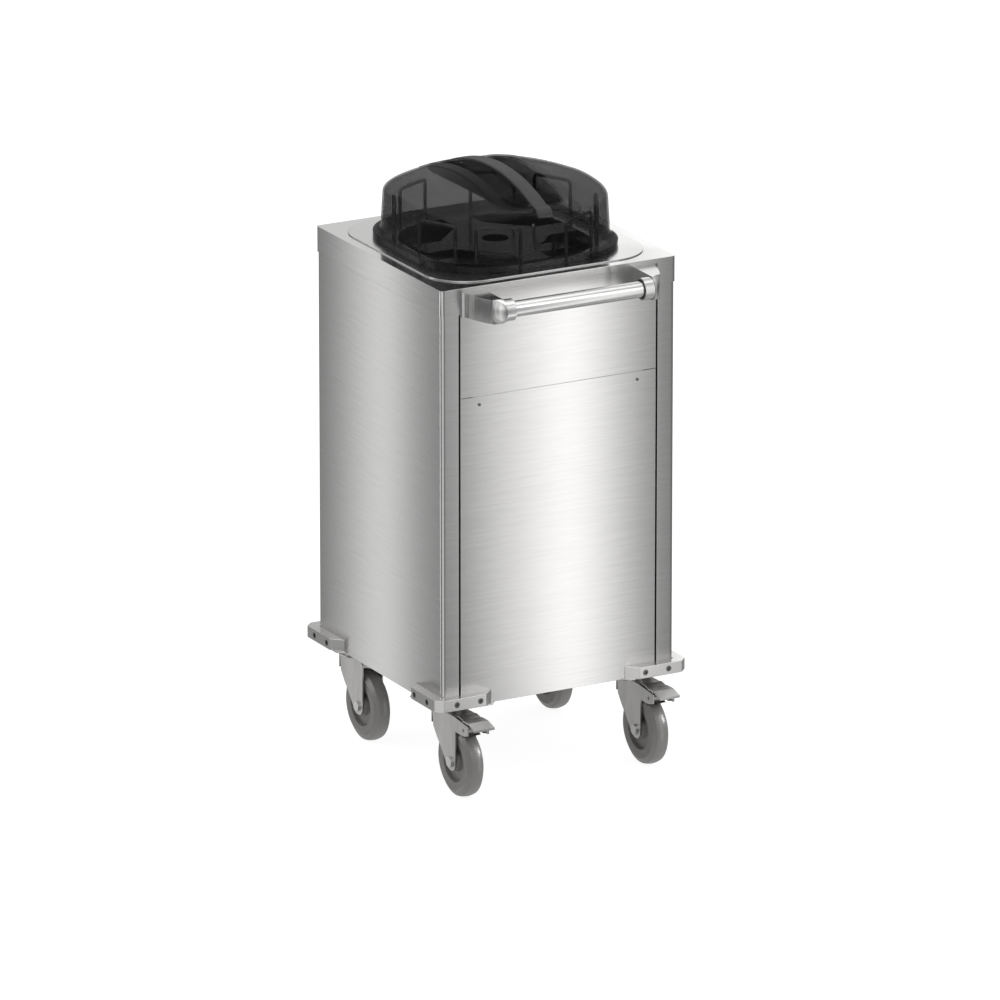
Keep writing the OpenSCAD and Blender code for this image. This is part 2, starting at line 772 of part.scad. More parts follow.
module spring_rails() {
    color(steel) at_body() for (s = [0, 1]) mirror([s, 0, 0]) difference() {
        union() {
            block(rail_in_x, inner_w / 2, -rail_w / 2, rail_w / 2, rail_h, rail_h + rail_t);
            block(inner_w / 2 - rail_t, inner_w / 2, -rail_w / 2, rail_w / 2,
                  rail_h - beam_w, rail_h + rail_t);
        }
        for (sy = [-1, 1])
            upright(rod_x, sy * rod_y, rod_d + 2 * fit_gap, rail_h - cut, rail_h + rail_t + cut);
    }
}

module lift_springs(side) {
    z0 = carriage_h0 + carriage_t;
    coil_gap = spring_d;
    color("slategray") at_body() for (y = spring_ys) translate([side * rod_x, y, 0]) {
        difference() {
            upright(0, 0, spring_d, z0 + coil_gap, rail_h - coil_gap);
            upright(0, 0, spring_d - 2 * spring_wire_d, z0 + coil_gap + spring_wire_d,
                    rail_h - coil_gap - spring_wire_d);
        }
        upright(0, 0, 2 * spring_wire_d, z0, z0 + coil_gap + spring_wire_d / 2);
        upright(0, 0, 2 * spring_wire_d, rail_h - coil_gap - spring_wire_d / 2, rail_h);
    }
}

module platform_outline() {
    difference() {
        union() {
            square([2 * arm_reach, arm_w], center = true);
            square([arm_w, 2 * arm_reach], center = true);
            intersection() {
                rotate([0, 0, 45]) square(hub_w / sqrt(2), center = true);
                square(hub_w, center = true);
            }
        }
        circle(d = platform_hole_d);
    }
}

function post_places() = [for (a = [0:90:270])
    post_reach_share * arm_reach * [cos(a), sin(a)]];

module platform() {
    color(steel) at_body() difference() {
        translate([0, 0, platform_top_h - platform_t]) linear_extrude(platform_t)
            platform_outline();
        for (p = post_places()) {
            upright(p[0], p[1], panel_screw_d + 2 * hole_gap, platform_top_h - platform_t - cut,
                    platform_top_h + cut);
            upright(p[0], p[1], panel_head_d + 2 * hole_gap, platform_top_h - sunk_head_h,
                    platform_top_h + cut);
        }
    }
}

// Their heads lie flush in the platform, so that plates rest on it flat
module platform_screws() {
    color(dark) at_body() for (p = post_places())
        translate([p[0], p[1], platform_top_h]) rotate([90, 0, 0])
            socket_screw(panel_head_d, sunk_head_h, panel_screw_d, 3 * panel_screw_d);
}

module lift_carriage() {
    beam_h0 = carriage_top_h - beam_h;
    color(steel) at_body() difference() {
        union() {
            // crossed beams under the platform, and the posts that carry it
            block(-cheek_x, cheek_x, -beam_w / 2, beam_w / 2, beam_h0, carriage_top_h);
            block(-beam_w / 2, beam_w / 2, -arm_reach + carriage_t, arm_reach - carriage_t,
                  beam_h0, carriage_top_h);
            for (p = post_places())
                upright(p[0], p[1], post_d, carriage_top_h - cut, platform_top_h - platform_t);
            // side cheeks with their bush shelves
            for (s = [0, 1]) mirror([s, 0, 0]) {
                block(cheek_x - carriage_t, cheek_x, -cheek_w / 2, cheek_w / 2,
                      carriage_h0, carriage_top_h);
                for (z = [carriage_h0, carriage_top_h - carriage_t])
                    for (sy = [-1, 1]) translate([0, sy * rod_y, 0])
                        block(cheek_x - cut, rod_x + bush_d / 2 + carriage_t,
                              -bush_d / 2 - carriage_t, bush_d / 2 + carriage_t,
                              z, z + carriage_t);
                block(cheek_x - cut, rod_x + spring_d / 2, -rod_y, rod_y,
                      carriage_h0, carriage_h0 + carriage_t);
            }
        }
        for (sx = [-1, 1], sy = [-1, 1])
            upright(sx * rod_x, sy * rod_y, bush_d + 2 * fit_gap, carriage_h0 - cut,
                    carriage_top_h + cut);
        for (p = post_places())
            upright(p[0], p[1], panel_screw_d + 2 * hole_gap,
                    platform_top_h - platform_t - 4 * panel_screw_d, platform_top_h);
        block(-cheek_x + 2 * carriage_t, cheek_x - 2 * carriage_t, -beam_w / 2 + carriage_t,
              beam_w / 2 - carriage_t, beam_h0 - cut, carriage_top_h - carriage_t);
        block(-beam_w / 2 + carriage_t, beam_w / 2 - carriage_t, -arm_reach + 2 * carriage_t,
              arm_reach - 2 * carriage_t, beam_h0 - cut, carriage_top_h - carriage_t);
    }
}

module carriage_bushes() {
    color("ivory") at_body()
        for (sx = [-1, 1], sy = [-1, 1], top = [false, true]) {
            shelf_h = top ? carriage_top_h - carriage_t : carriage_h0;
            z0 = top ? carriage_top_h - bush_l : carriage_h0;
            flange_h = shelf_h + (top ? -bush_flange_t : carriage_t);
            translate([sx * rod_x, sy * rod_y, 0]) difference() {
                union() {
                    upright(0, 0, bush_d, z0, z0 + bush_l);
                    upright(0, 0, bush_flange_d, flange_h, flange_h + bush_flange_t);
                }
                upright(0, 0, rod_d + 2 * fit_gap, z0 - cut, z0 + bush_l + cut);
            }
        }
}

// Hood
// Distance from the middle to the edge of a rounded rectangle with half sizes hx and hy
function edge_at(hx, hy, r, a) =
    let (c = abs(cos(a)), s = abs(sin(a)), mx = hx - r, my = hy - r)
    s * hx <= my * c ? hx / c
        : c * hy <= mx * s ? hy / s
        : mx * c + my * s + sqrt(max(0, r * r - pow(mx * s - my * c, 2)));

// Height of the dome's outer surface over a point, without the recess and its border
function dome_z(x, y) =
    let (t = norm([x, y]) / (hood_w / 2)) shoulder_z + dome_rise * (1 - t * t);

function spoke(j) = 360 * j / hood_spokes;
function wall_ring(half, r, z) = [for (j = [0:hood_spokes - 1])
    let (d = edge_at(half, half, r, spoke(j))) [d * cos(spoke(j)), d * sin(spoke(j)), z]];

// One ring of the hood's top: d is its distance from the middle on each spoke, rise its
// height above the dome, and top the highest that it may lie
function top_ring(ds, rise, top, down) = [for (j = [0:hood_spokes - 1])
    let (x = ds[j] * cos(spoke(j)), y = ds[j] * sin(spoke(j)))
    [x, y, min(dome_z(x, y) + rise, top) - down]];

// Rings of the outer surface (t = 0) or of the inner one (t = the wall), rim to middle
function hood_rings(t) =
    let (half0 = hood_rim_w / 2 - t, half1 = hood_w / 2 - t, free = shoulder_z + 2 * dome_rise,
         js = [0:hood_spokes - 1],
         border = [for (j = js) edge_at(recess_w / 2 + border_w, recess_l / 2 + border_w / 2,
                                        recess_r + border_w / 2, spoke(j))],
         brim = [for (j = js) edge_at(recess_w / 2 + t, recess_l / 2 + t, recess_r + t, spoke(j))],
         half2 = half1 - wall_lean,
         shoulder = [for (j = js) edge_at(half2, half2, hood_r - t, spoke(j))])
    concat(
        [for (s = rim_shares) wall_ring(half0 + (half1 - half0) * s[1],
            hood_rim_r - t + (hood_r - hood_rim_r) * s[1], frame_top_h + s[0] * hood_rim_h)],
        [top_ring(shoulder, -shoulder_bevel, free, t / 2)],
        [for (s = dome_shares)
            top_ring([for (j = js) border[j] + (shoulder[j] - border[j]) * s], 0, free, t)],
        [top_ring([for (d = border) d - 2 * border_rise], border_rise, free, t)],
        [top_ring(brim, border_rise, free, t)],
        [top_ring([for (d = brim) d - recess_draft], 0, recess_z, t)],
        [for (s = floor_shares) top_ring(s * brim, 0, recess_z, t)]);

module hood_shell() {
    outer = hood_rings(0);
    inner = hood_rings(hood_wall);
    n = hood_spokes;
    rings = len(outer);
    points = concat([for (ring = outer) each ring], [[0, 0, recess_z]],
                    [for (ring = inner) each ring], [[0, 0, recess_z - hood_wall]]);
    base = rings * n + 1;
    faces = concat(
        [for (i = [0:rings - 2], j = [0:n - 1]) let (k = (j + 1) % n)
            each [[i * n + j, (i + 1) * n + j, (i + 1) * n + k],
                  [i * n + j, (i + 1) * n + k, i * n + k]]],
        [for (j = [0:n - 1]) [(rings - 1) * n + j, rings * n, (rings - 1) * n + (j + 1) % n]],
        [for (i = [0:rings - 2], j = [0:n - 1]) let (k = (j + 1) % n)
            each [[base + i * n + j, base + (i + 1) * n + k, base + (i + 1) * n + j],
                  [base + i * n + j, base + i * n + k, base + (i + 1) * n + k]]],
        [for (j = [0:n - 1])
            [base + (rings - 1) * n + j, base + (rings - 1) * n + (j + 1) % n,
             base + rings * n]],
        [for (j = [0:n - 1]) let (k = (j + 1) % n)
            each [[j, k, base + k], [j, base + k, base + j]]]);
    polyhedron(points, faces);
}

// Grip strap along Y over the recess, which sinks into the dome at both ends
function strap_point(i, j, top) =
    let (q = 2 * i / strap_steps - 1, y = strap_half_l * q, x = strap_w * (j / strap_across - 0.5),
         thick = strap_t + (hood_wall / 3 - strap_t) * pow(abs(q), 8))
    [x, y, dome_z(x, y) + strap_lift - (strap_lift + hood_wall / 2) * pow(q, 6)
        - (top ? 0 : thick)];

module hood_strap() {
    row = strap_across + 1;
    points = concat(
        [for (i = [0:strap_steps], j = [0:strap_across]) strap_point(i, j, true)],
        [for (i = [0:strap_steps], j = [0:strap_across]) strap_point(i, j, false)]);
    m = (strap_steps + 1) * row;
    faces = concat(
        [for (i = [0:strap_steps - 1], j = [0:strap_across - 1]) let (a = i * row + j)
            each [[a, a + row, a + row + 1], [a, a + row + 1, a + 1],
                  [m + a, m + a + row + 1, m + a + row], [m + a, m + a + 1, m + a + row + 1]]],
        [for (i = [0:strap_steps - 1]) let (a = i * row, b = a + strap_across)
            each [[a, m + a, m + a + row], [a, m + a + row, a + row],
                  [b, b + row, m + b + row], [b, m + b + row, m + b]]],
        [for (j = [0:strap_across - 1]) let (e = strap_steps * row + j)
            each [[j, j + 1, m + j + 1], [j, m + j + 1, m + j],
                  [e, m + e, m + e + 1], [e, m + e + 1, e + 1]]]);
    polyhedron(points, faces);
}

module hood() {
    color([0.16, 0.16, 0.17, 0.8]) at_body() union() {
        hood_shell();
        hood_strap();
    }
}

// Casters
function caster_x(i) = corner_signs[i][0] * caster_span_x / 2;
function caster_y(i) = corner_signs[i][1] * caster_span_y / 2;

module at_caster(i) {
    translate([caster_x(i), caster_y(i) + body_y, 0]) children();
}

module plate_bolt_holes(c) {
    translate([c[0] * caster_span_x / 2, c[1] * caster_span_y / 2, 0])
        for (sx = [-1, 1], sy = [-1, 1])
            upright(sx * plate_bolt_x, sy * plate_bolt_y, plate_bolt_d + 2 * hole_gap,
                    caster_plate_h - cut, base_top_h + cut);
}

module caster_plate(i) {
    color("silver") at_caster(i) {
        difference() {
            slab(caster_plate_w, caster_plate_l, plate_bolt_d, caster_plate_h, casing_h0);
            for (sx = [-1, 1], sy = [-1, 1])
                upright(sx * plate_bolt_x, sy * plate_bolt_y, plate_bolt_d + 2 * hole_gap,
                        caster_plate_h - cut, casing_h0 + cut);
        }
        // ball race, king pin and its head
        translate([0, 0, fork_top_h + run_gap])
            cylinder(h = race_h, d1 = race_taper * race_d, d2 = race_d);
        upright(0, 0, kingpin_d, fork_top_h - fork_t - run_gap - kingpin_head_h, caster_plate_h);
        upright(0, 0, kingpin_head_d, fork_top_h - fork_t - run_gap - kingpin_head_h,
                fork_top_h - fork_t - run_gap);
    }
}

module caster_plate_bolts() {
    head_h = plate_bolt_d * 0.5;
    color(dark) for (i = [0:3]) at_caster(i)
        for (sx = [-1, 1], sy = [-1, 1]) translate([sx * plate_bolt_x, sy * plate_bolt_y, 0]) {
            translate([0, 0, caster_plate_h - head_h])
                cylinder(h = head_h, d = 1.7 * plate_bolt_d, $fn = 6);
            upright(0, 0, plate_bolt_d, caster_plate_h - head_h / 2, base_top_h + plate_bolt_d);
            translate([0, 0, base_top_h])
                cylinder(h = plate_bolt_d * 0.8, d = 1.7 * plate_bolt_d, $fn = 6);
        }
}

// Side view of a fork cheek, as [y, z] points from the swivel axis
module cheek_outline(with_brake) {
    back = [for (s = leg_back_shares)
        [fork_back_y - s[0] * (fork_back_y + trail), wheel_r + s[1] * (fork_top_h - wheel_r)]];
    pad_low_deg = -35;
    front_top = with_brake ? [] : [[fork_front_y, fork_top_h - nose_round],
                                   [fork_front_y + nose_round, fork_top_h]];
    nose = !with_brake ? [] : [
        [fork_front_y, nose_h0], [nose_y + 2 * nose_round, nose_h0],
        [nose_y, nose_h0 + nose_drop], [nose_y, nose_h1],
        [-0.78 * nose_reach, fork_top_h - nose_drop / 2], [-1.3 * trail, fork_top_h]];
    difference() {
        union() {
            polygon(concat(back,
                [[-trail + axle_pad_r * cos(pad_low_deg), wheel_r + axle_pad_r * sin(pad_low_deg)],
                 [-trail, wheel_r], [fork_front_y, wheel_r]], nose, front_top));
            translate([-trail, wheel_r]) circle(axle_pad_r);
            translate([-trail - fork_t, wheel_r]) circle(axle_pad_r);
        }
        translate([-trail, wheel_r]) circle(d = axle_d + 2 * fit_gap);
        if (with_brake)
            translate([pedal_pin_y, pedal_pin_h]) circle(d = pedal_pin_d + 2 * fit_gap);
    }
}

// Turns a [y, z] outline into a sheet from x0 to x1
module sheet_along_x(x0, x1) {
    translate([x0, 0, 0]) rotate([90, 0, 90]) linear_extrude(x1 - x0) children();
}

// Spring blade over the tyre that the pedal's cam presses down
module brake_blade() {
    a = [-trail, fork_top_h - fork_t];
    b = [-trail - 0.75 * axle_pad_r, wheel_d + pedal_hub_r];
    c = [pedal_pin_y + pedal_hub_r, wheel_r + wheel_r * 0.86];
    sheet_along_x(-fork_in, fork_in)
        polygon([a, a + [blade_t, 0], b + [blade_t, 0], c + [blade_t, 0], c, b - [blade_t, 0],
                 a - [blade_t, 0]]);
}

// What lies outside a quarter round of radius r in an upper right corner, over by more
module corner_left_over(r, over) {
    difference() {
        square(r + over);
        circle(r);
    }
}

// Turns an [x, z] outline into a bar from y0 to y1
module bar_along_y(y0, y1) {
    translate([0, y1, 0]) rotate([90, 0, 0]) linear_extrude(y1 - y0) children();
}

// The shoulders' rounding, which runs out towards the front
module shoulder_cut() {
    for (s = [0, 1]) mirror([s, 0, 0])
        translate([fork_out - press_r, 0, fork_top_h - press_r]) {
            bar_along_y(0, fork_back_y + cut) corner_left_over(press_r, cut);
            rotate([0, 0, atan(press_r / press_run)])
                bar_along_y(-press_run - 2 * press_r, 0) corner_left_over(press_r, cut);
        }
}

// Cheeks, top and closed back, pressed from one sheet
module pressed_fork(with_brake) {
    top_y = -trail - axle_pad_r / 2;
    in_r = press_r - fork_t;
    for (s = [0, 1]) mirror([s, 0, 0]) {
        sheet_along_x(fork_in, fork_out) cheek_outline(with_brake);
        translate([fork_in - in_r, 0, fork_top_h - press_r])
            bar_along_y(top_y, fork_back_y) corner_left_over(in_r, fork_t / 2);
    }
    block(-fork_out, fork_out, top_y, fork_back_y, fork_top_h - fork_t, fork_top_h);
    block(-fork_out, fork_out, fork_back_y - fork_t, fork_back_y,
          fork_top_h - head_d / 2, fork_top_h);
}

module fork(i) {
    color("silver") at_caster(i) difference() {
        union() {
            difference() {
                pressed_fork(braked[i]);
                shoulder_cut();
            }
            // round crown that turns on the king pin
            upright(0, 0, head_d, fork_top_h - fork_t, fork_top_h);
            if (braked[i]) brake_blade();
        }
        upright(0, 0, kingpin_d + 2 * fit_gap, fork_top_h - fork_t - cut, fork_top_h + cut);
    }
}

module axle(i) {
    color(polished) at_caster(i) translate([0, -trail, wheel_r]) {
        cross_bar(-fork_out - axle_head_t, fork_out + axle_head_t, 0, 0, axle_d);
        for (s = [0, 1]) mirror([s, 0, 0])
            cross_bar(fork_out, fork_out + axle_head_t, 0, 0, 1.5 * axle_d);
    }
}

module wheel_turned() {
    rotate([0, 90, 0]) rotate_extrude($fn = 96) children();
}

module wheel_core(i) {
    bore_r = axle_d / 2 + fit_gap;
    half = [[bore_r, hub_half_w], [hub_r - hub_step, hub_half_w], [hub_r, rim_half_w],
            [hub_r + hub_step, web_half_w], [dish_r - hub_step, web_half_w],
            [dish_r, rim_half_w], [core_r, rim_half_w]];
    last = len(half) - 1;
    color(rubber) at_caster(i) translate([0, -trail, wheel_r]) wheel_turned()
        polygon(concat(half, [for (k = [0:last]) [half[last - k][0], -half[last - k][1]]]));
}

// Slanted sides and a crowned tread
module tyre(i) {
    half = wheel_w / 2;
    color(rubber) at_caster(i) translate([0, -trail, wheel_r]) wheel_turned() intersection() {
        translate([wheel_r - tread_crown_r, 0]) circle(tread_crown_r);
        polygon([[core_r, -rim_half_w], [side_r, -half], [wheel_r, -tread_half_w],
                 [wheel_r + cut, 0], [wheel_r, tread_half_w], [side_r, half],
                 [core_r, rim_half_w]]);
    }
}

// Brakes
// Side views of the pedal's bent plate: the bowed rear part, which sinks between the cheeks,
// and the tread, from the crease to its turned-down edge
module pedal_rear_outline() {
    crease = [pedal_crease_y, pedal_crease_h];
    bow = crease + [pedal_rear_l / 2, pedal_t];
    rear = crease + [pedal_rear_l, -0.2 * pedal_t];
    down = [0, -pedal_t];
    polygon([rear, bow, crease, crease - [pedal_t, 0], crease + down - [pedal_t, 0],
             crease + down, bow + down, rear + down]);
}

module pedal_tread_outline() {
    crease = [pedal_crease_y, pedal_crease_h];
    bow = crease + [-pedal_l / 2, pedal_t / 4];
    front = crease - [pedal_l, pedal_tip_drop];
    down = [0, -pedal_t];
    polygon([crease, bow, front, front + 1.6 * down, front + 1.6 * down + [pedal_t, 0],
             front + down + [pedal_t, 0], bow + down, crease + down]);
}

module brake_pedal(i) {
    web_x = fork_in - pedal_web_gap;
    pin = [pedal_pin_y, pedal_pin_h];
    web_reach = 0.8 * pedal_hub_r;
    stud_d = 2 * pedal_t;
    color("silver") at_caster(i) difference() {
        union() {
            sheet_along_x(-web_x, web_x) pedal_rear_outline();
            sheet_along_x(-pedal_w / 2, pedal_w / 2) pedal_tread_outline();
            // two webs down to the pin, and the cam between them
            for (s = [0, 1]) mirror([s, 0, 0]) sheet_along_x(web_x - pedal_t, web_x) {
                translate(pin) circle(pedal_hub_r);
                polygon([pin - [web_reach, 0], pin + [web_reach, 0],
                         [pedal_pin_y + web_reach, pedal_crease_h - pedal_t / 2],
                         [pedal_pin_y - web_reach, pedal_crease_h - 1.5 * pedal_t]]);
            }
            cross_bar(-web_x + pedal_t / 2, web_x - pedal_t / 2, pedal_pin_y, pedal_pin_h,
                      1.6 * pedal_hub_r);
            // rubber-tipped stud under the tread's front edge
            upright(pedal_w / 5, pedal_crease_y - pedal_l + 1.5 * pedal_t, stud_d,
                    pedal_crease_h - pedal_tip_drop - 4 * pedal_t, pedal_crease_h - pedal_tip_drop);
        }
        cross_bar(-fork_out, fork_out, pedal_pin_y, pedal_pin_h, pedal_pin_d + 2 * fit_gap);
    }
}

module brake_pin(i) {
    color(dark) at_caster(i) translate([0, pedal_pin_y, pedal_pin_h])
        cross_bar(-fork_out, fork_out, 0, 0, pedal_pin_d);
}

top_cap();
top_frame();
left_side_panel();
right_side_panel();
upper_front_panel();
lower_front_panel();
rear_panel();
base_plate();
bumper_screws();
panel_screws();
handle_bracket_left();
handle_bracket_right();
handle_tube();
handle_collars();
handle_seal_rings();
handle_bolts();
guide_nuts();
guide_rods();
rod_buffers();
spring_rails();
lift_springs(-1);  // springs_left
lift_springs(1);  // springs_right
platform();
lift_carriage();
carriage_bushes();
platform_screws();
hood();
caster_plate_bolts();
for (i = [0:3]) {
    bumper(i);
    plate_guides(i);
    caster_plate(i);
    fork(i);
    axle(i);
    wheel_core(i);
    tyre(i);
}
brake_pedal(0);  // brake_pedal_left
brake_pedal(1);  // brake_pedal_right
brake_pin(0);  // brake_pin_left
brake_pin(1);  // brake_pin_right
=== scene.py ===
import json
import math

import bmesh
import bpy
import numpy as np
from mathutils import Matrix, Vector


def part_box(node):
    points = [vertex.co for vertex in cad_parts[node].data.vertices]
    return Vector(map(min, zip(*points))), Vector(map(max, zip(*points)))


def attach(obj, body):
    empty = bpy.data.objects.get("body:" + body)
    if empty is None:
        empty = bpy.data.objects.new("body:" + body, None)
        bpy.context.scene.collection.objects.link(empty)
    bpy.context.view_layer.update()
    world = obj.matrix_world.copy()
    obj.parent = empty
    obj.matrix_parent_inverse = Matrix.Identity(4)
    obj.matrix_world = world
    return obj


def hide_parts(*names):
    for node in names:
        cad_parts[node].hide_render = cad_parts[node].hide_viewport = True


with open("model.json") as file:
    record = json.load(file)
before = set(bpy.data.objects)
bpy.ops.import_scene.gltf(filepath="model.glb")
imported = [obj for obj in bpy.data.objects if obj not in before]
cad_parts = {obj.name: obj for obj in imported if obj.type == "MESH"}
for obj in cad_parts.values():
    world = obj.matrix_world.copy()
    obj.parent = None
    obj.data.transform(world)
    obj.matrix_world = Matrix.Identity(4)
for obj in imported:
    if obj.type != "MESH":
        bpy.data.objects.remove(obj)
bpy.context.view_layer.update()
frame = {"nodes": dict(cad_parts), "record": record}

NODES = frame["nodes"]
MM = 0.001

# The middle of the casing lies a little behind the middle of the whole box
cap_lo, cap_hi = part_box("top_cap")
BODY_Y = (cap_lo.y + cap_hi.y) / 2
FRAME_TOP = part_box("top_frame")[1].z

# The hood's sizes in mm, as in the CAD model
RIM_HALF, RIM_R, RIM_H = 183.5, 115.0, 11.0
HOOD_HALF, HOOD_R, WALL_LEAN = 178.0, 134.0, 2.0
SHOULDER, DOME_RISE = 92.0, 41.0
HOOD_WALL = 3.0
RECESS_W, RECESS_L, RECESS_R, FLOOR = 108.0, 322.0, 34.0, 98.0
BORDER_W, BORDER_RISE = 20.0, 1.2
DRAFT = 3.0
SPOKES = 360
STRAP_W, STRAP_T, STRAP_LIFT = 27.0, 9.0, 1.5
STRAP_HALF = RECESS_L / 2 + DRAFT

# How fine the hood's mesh is, and its small roundings in mm
NEARLY_ZERO = 1e-9
STRAP_STEPS, STRAP_AROUND = 72, 24
FOOT_PROFILE = [[0, 0], [0.0, 0.3], [0, 0.8], [0, 0.95], [0.1, 1.0], [0.55, 1.22], [0.85, 1.6],
                [1, 2.3], [1, 3.2]]  # share of the way from rim to wall, height in rim heights
WALL_FOOT = FOOT_PROFILE[-1][1] * RIM_H
WALL_SHARES = (0.2, 0.4, 0.6, 0.8, 1.0)
SHOULDER_R, SHOULDER_STEPS = 5.5, 5
DOME_SHARES = (0.94, 0, 22)  # first and last share of the way out from the border, rings
BORDER_STEPS = ((0.5, 0.15), (1.1, 0.6), (1.7, 1.05), (2.4, 1.2), (3.2, BORDER_RISE))
BORDER_EDGE = BORDER_STEPS[-1][0]
BORDER_RINGS = 6
BRIM_R = 1.3
BRIM_ANGLES = (30, 60, 90)
RECESS_FOOT = 1.2
RECESS_SHARES = (0.25, 0.5, 0.75)
RECESS_TOP, RECESS_MIDDLE = 0.12, 0.76
FLOOR_RIM, FLOOR_RISE, FLOOR_STEP = 0.9, 0.05, 2
FLOOR_SHARES = (0.8, 0.6, 0.4, 0.2)
STRAP_ROUND = 0.35  # power that rounds the strap's section, lower is squarer
STRAP_THIN_POWER, STRAP_SINK_POWER = 8, 6
HOOD_SMOOTH_ANGLE = 35


# ---------------------------------------------------------------- camera
YAW = math.radians(28.50)
PITCH = math.radians(17.64)
CAMERA_DISTANCE = 20.0
LENS, SENSOR = 422.3, 36
CLIP = (1, 60)
TARGET_ASIDE, TARGET_UP = 0.0081, 0.4388
RIGHT = Vector((math.cos(YAW), -math.sin(YAW), 0))
AHEAD = Vector((math.sin(YAW), math.cos(YAW), 0))
FORWARD = AHEAD * math.cos(PITCH) - Vector((0, 0, math.sin(PITCH)))
TARGET = RIGHT * TARGET_ASIDE + Vector((0, BODY_Y, TARGET_UP))


def make_camera():
    data = bpy.data.cameras.new("camera")
    data.lens = LENS
    data.sensor_width = SENSOR
    data.clip_start, data.clip_end = CLIP
    camera = bpy.data.objects.new("camera", data)
    bpy.context.scene.collection.objects.link(camera)
    camera.location = TARGET - FORWARD * CAMERA_DISTANCE
    camera.rotation_euler = FORWARD.to_track_quat("-Z", "Y").to_euler()
    bpy.context.scene.camera = camera


# ---------------------------------------------------------------- node helpers
LEVEL_LIMIT = 0.7  # faces whose normal leans up or down more than this count as level
BUMP_DISTANCE = 0.0002
LEVEL_SHINE = 0.55  # roughness of a brushed sheet's level faces, as a share of its upright ones
SHEET_CLOUDS, SHEET_CLOUDS_AT = (3.2, 3.2, 2.2), (4.1, 2.7, 0.3)
METAL_CLOUDS_AT = (1.3, 0.4, 2.2)
SKIN_CLOUDS, SKIN_CLOUDS_AT = (14.0, 14.0, 14.0), (2.3, 1.4, 0.2)
CLOUD_TINT, CLOUD_SHEET_ROUGH, CLOUD_METAL_ROUGH = 0.02, 0.004, 0.02


class Graph:
    """A material's node tree with short calls."""

    def __init__(self, name):
        self.material = bpy.data.materials.new(name)
        self.material.use_nodes = True
        self.tree = self.material.node_tree
        self.shader = self.tree.nodes["Principled BSDF"]
        self.coords = self.node("ShaderNodeTexCoord").outputs["Object"]
        self.normal = self.node("ShaderNodeNewGeometry").outputs["Normal"]

    def node(self, kind, **settings):
        made = self.tree.nodes.new(kind)
        for key, value in settings.items():
            setattr(made, key, value)
        return made

    def link(self, source, target):
        self.tree.links.new(source, target)

    def put(self, socket, value):
        if isinstance(value, bpy.types.NodeSocket):
            self.link(value, socket)
        else:
            socket.default_value = value

    def math(self, operation, *values):
        made = self.node("ShaderNodeMath", operation=operation)
        for socket, value in zip(made.inputs, values):
            self.put(socket, value)
        return made.outputs[0]

    def noise(self, stretch, detail, rough, offset=(0, 0, 0)):
        """Noise over the piece's own coordinates, stretch is how often it repeats per metre."""
        mapping = self.node("ShaderNodeMapping")
        mapping.inputs["Scale"].default_value = stretch
        mapping.inputs["Location"].default_value = offset
        self.link(self.coords, mapping.inputs["Vector"])
        made = self.node("ShaderNodeTexNoise")
        made.inputs["Scale"].default_value = 1.0
        made.inputs["Detail"].default_value = detail
        made.inputs["Roughness"].default_value = rough
        self.link(mapping.outputs[0], made.inputs["Vector"])
        return made.outputs[0]

    def span(self, value, low, high, from_low=0.25, from_high=0.75):
        made = self.node("ShaderNodeMapRange")
        for name, v in (("Value", value), ("From Min", from_low), ("From Max", from_high),
                        ("To Min", low), ("To Max", high)):
            self.put(made.inputs[name], v)
        return made.outputs[0]

    def mix(self, factor, a, b):
        made = self.node("ShaderNodeMix", data_type="FLOAT")
        self.put(made.inputs[0], factor)
        self.put(made.inputs[2], a)
        self.put(made.inputs[3], b)
        return made.outputs[0]

    def tint(self, colour, value):
        """Colour times a value that varies over the surface."""
        made = self.node("ShaderNodeVectorMath", operation="SCALE")
        made.inputs[0].default_value = colour
        self.put(made.inputs["Scale"], value)
        return made.outputs[0]

    def bump(self, height, strength, distance=BUMP_DISTANCE):
        made = self.node("ShaderNodeBump")
        made.inputs["Strength"].default_value = strength
        made.inputs["Distance"].default_value = distance
        self.link(height, made.inputs["Height"])
        self.link(made.outputs[0], self.shader.inputs["Normal"])

    def upness(self):
        """1 on faces that look up or down, 0 on upright ones."""
        split = self.node("ShaderNodeSeparateXYZ")
        self.link(self.normal, split.inputs[0])
        return self.math("GREATER_THAN", self.math("ABSOLUTE", split.outputs["Z"]),
                         LEVEL_LIMIT)


def brushed(name, colour, rough, spread, aniso, grain=300.0, depth=0.01, along=14.0,
            variation=0.018, metallic=1.0):
    """Brushed sheet: level grain on upright faces, grain from side to side on flat ones."""
    g = Graph(name)
    s = g.shader.inputs
    up = g.upness()
    side = g.noise((along, along, grain), detail=3, rough=0.5)
    flat = g.noise((along, grain, along), detail=3, rough=0.5)
    streaks = g.mix(up, side, flat)
    clouds = g.noise(SHEET_CLOUDS, detail=3, rough=0.5, offset=SHEET_CLOUDS_AT)
    shade = g.math("ADD", g.span(streaks, 1 - variation, 1 + variation),
                   g.span(clouds, -CLOUD_TINT, CLOUD_TINT))
    g.link(g.tint(colour, shade), s["Base Color"])
    s["Metallic"].default_value = metallic
    level = g.mix(up, rough, rough * LEVEL_SHINE)
    marks = g.math("ADD", g.span(streaks, -spread, spread),
                   g.span(clouds, -CLOUD_SHEET_ROUGH, CLOUD_SHEET_ROUGH))
    g.link(g.math("ADD", level, marks), s["Roughness"])
    s["Anisotropic"].default_value = aniso
    tangent = g.node("ShaderNodeCombineXYZ")
    g.link(up, tangent.inputs["Y"])
    g.link(g.math("SUBTRACT", 1.0, up), tangent.inputs["Z"])
    g.link(tangent.outputs[0], s["Tangent"])
    g.bump(streaks, depth)
    return g.material


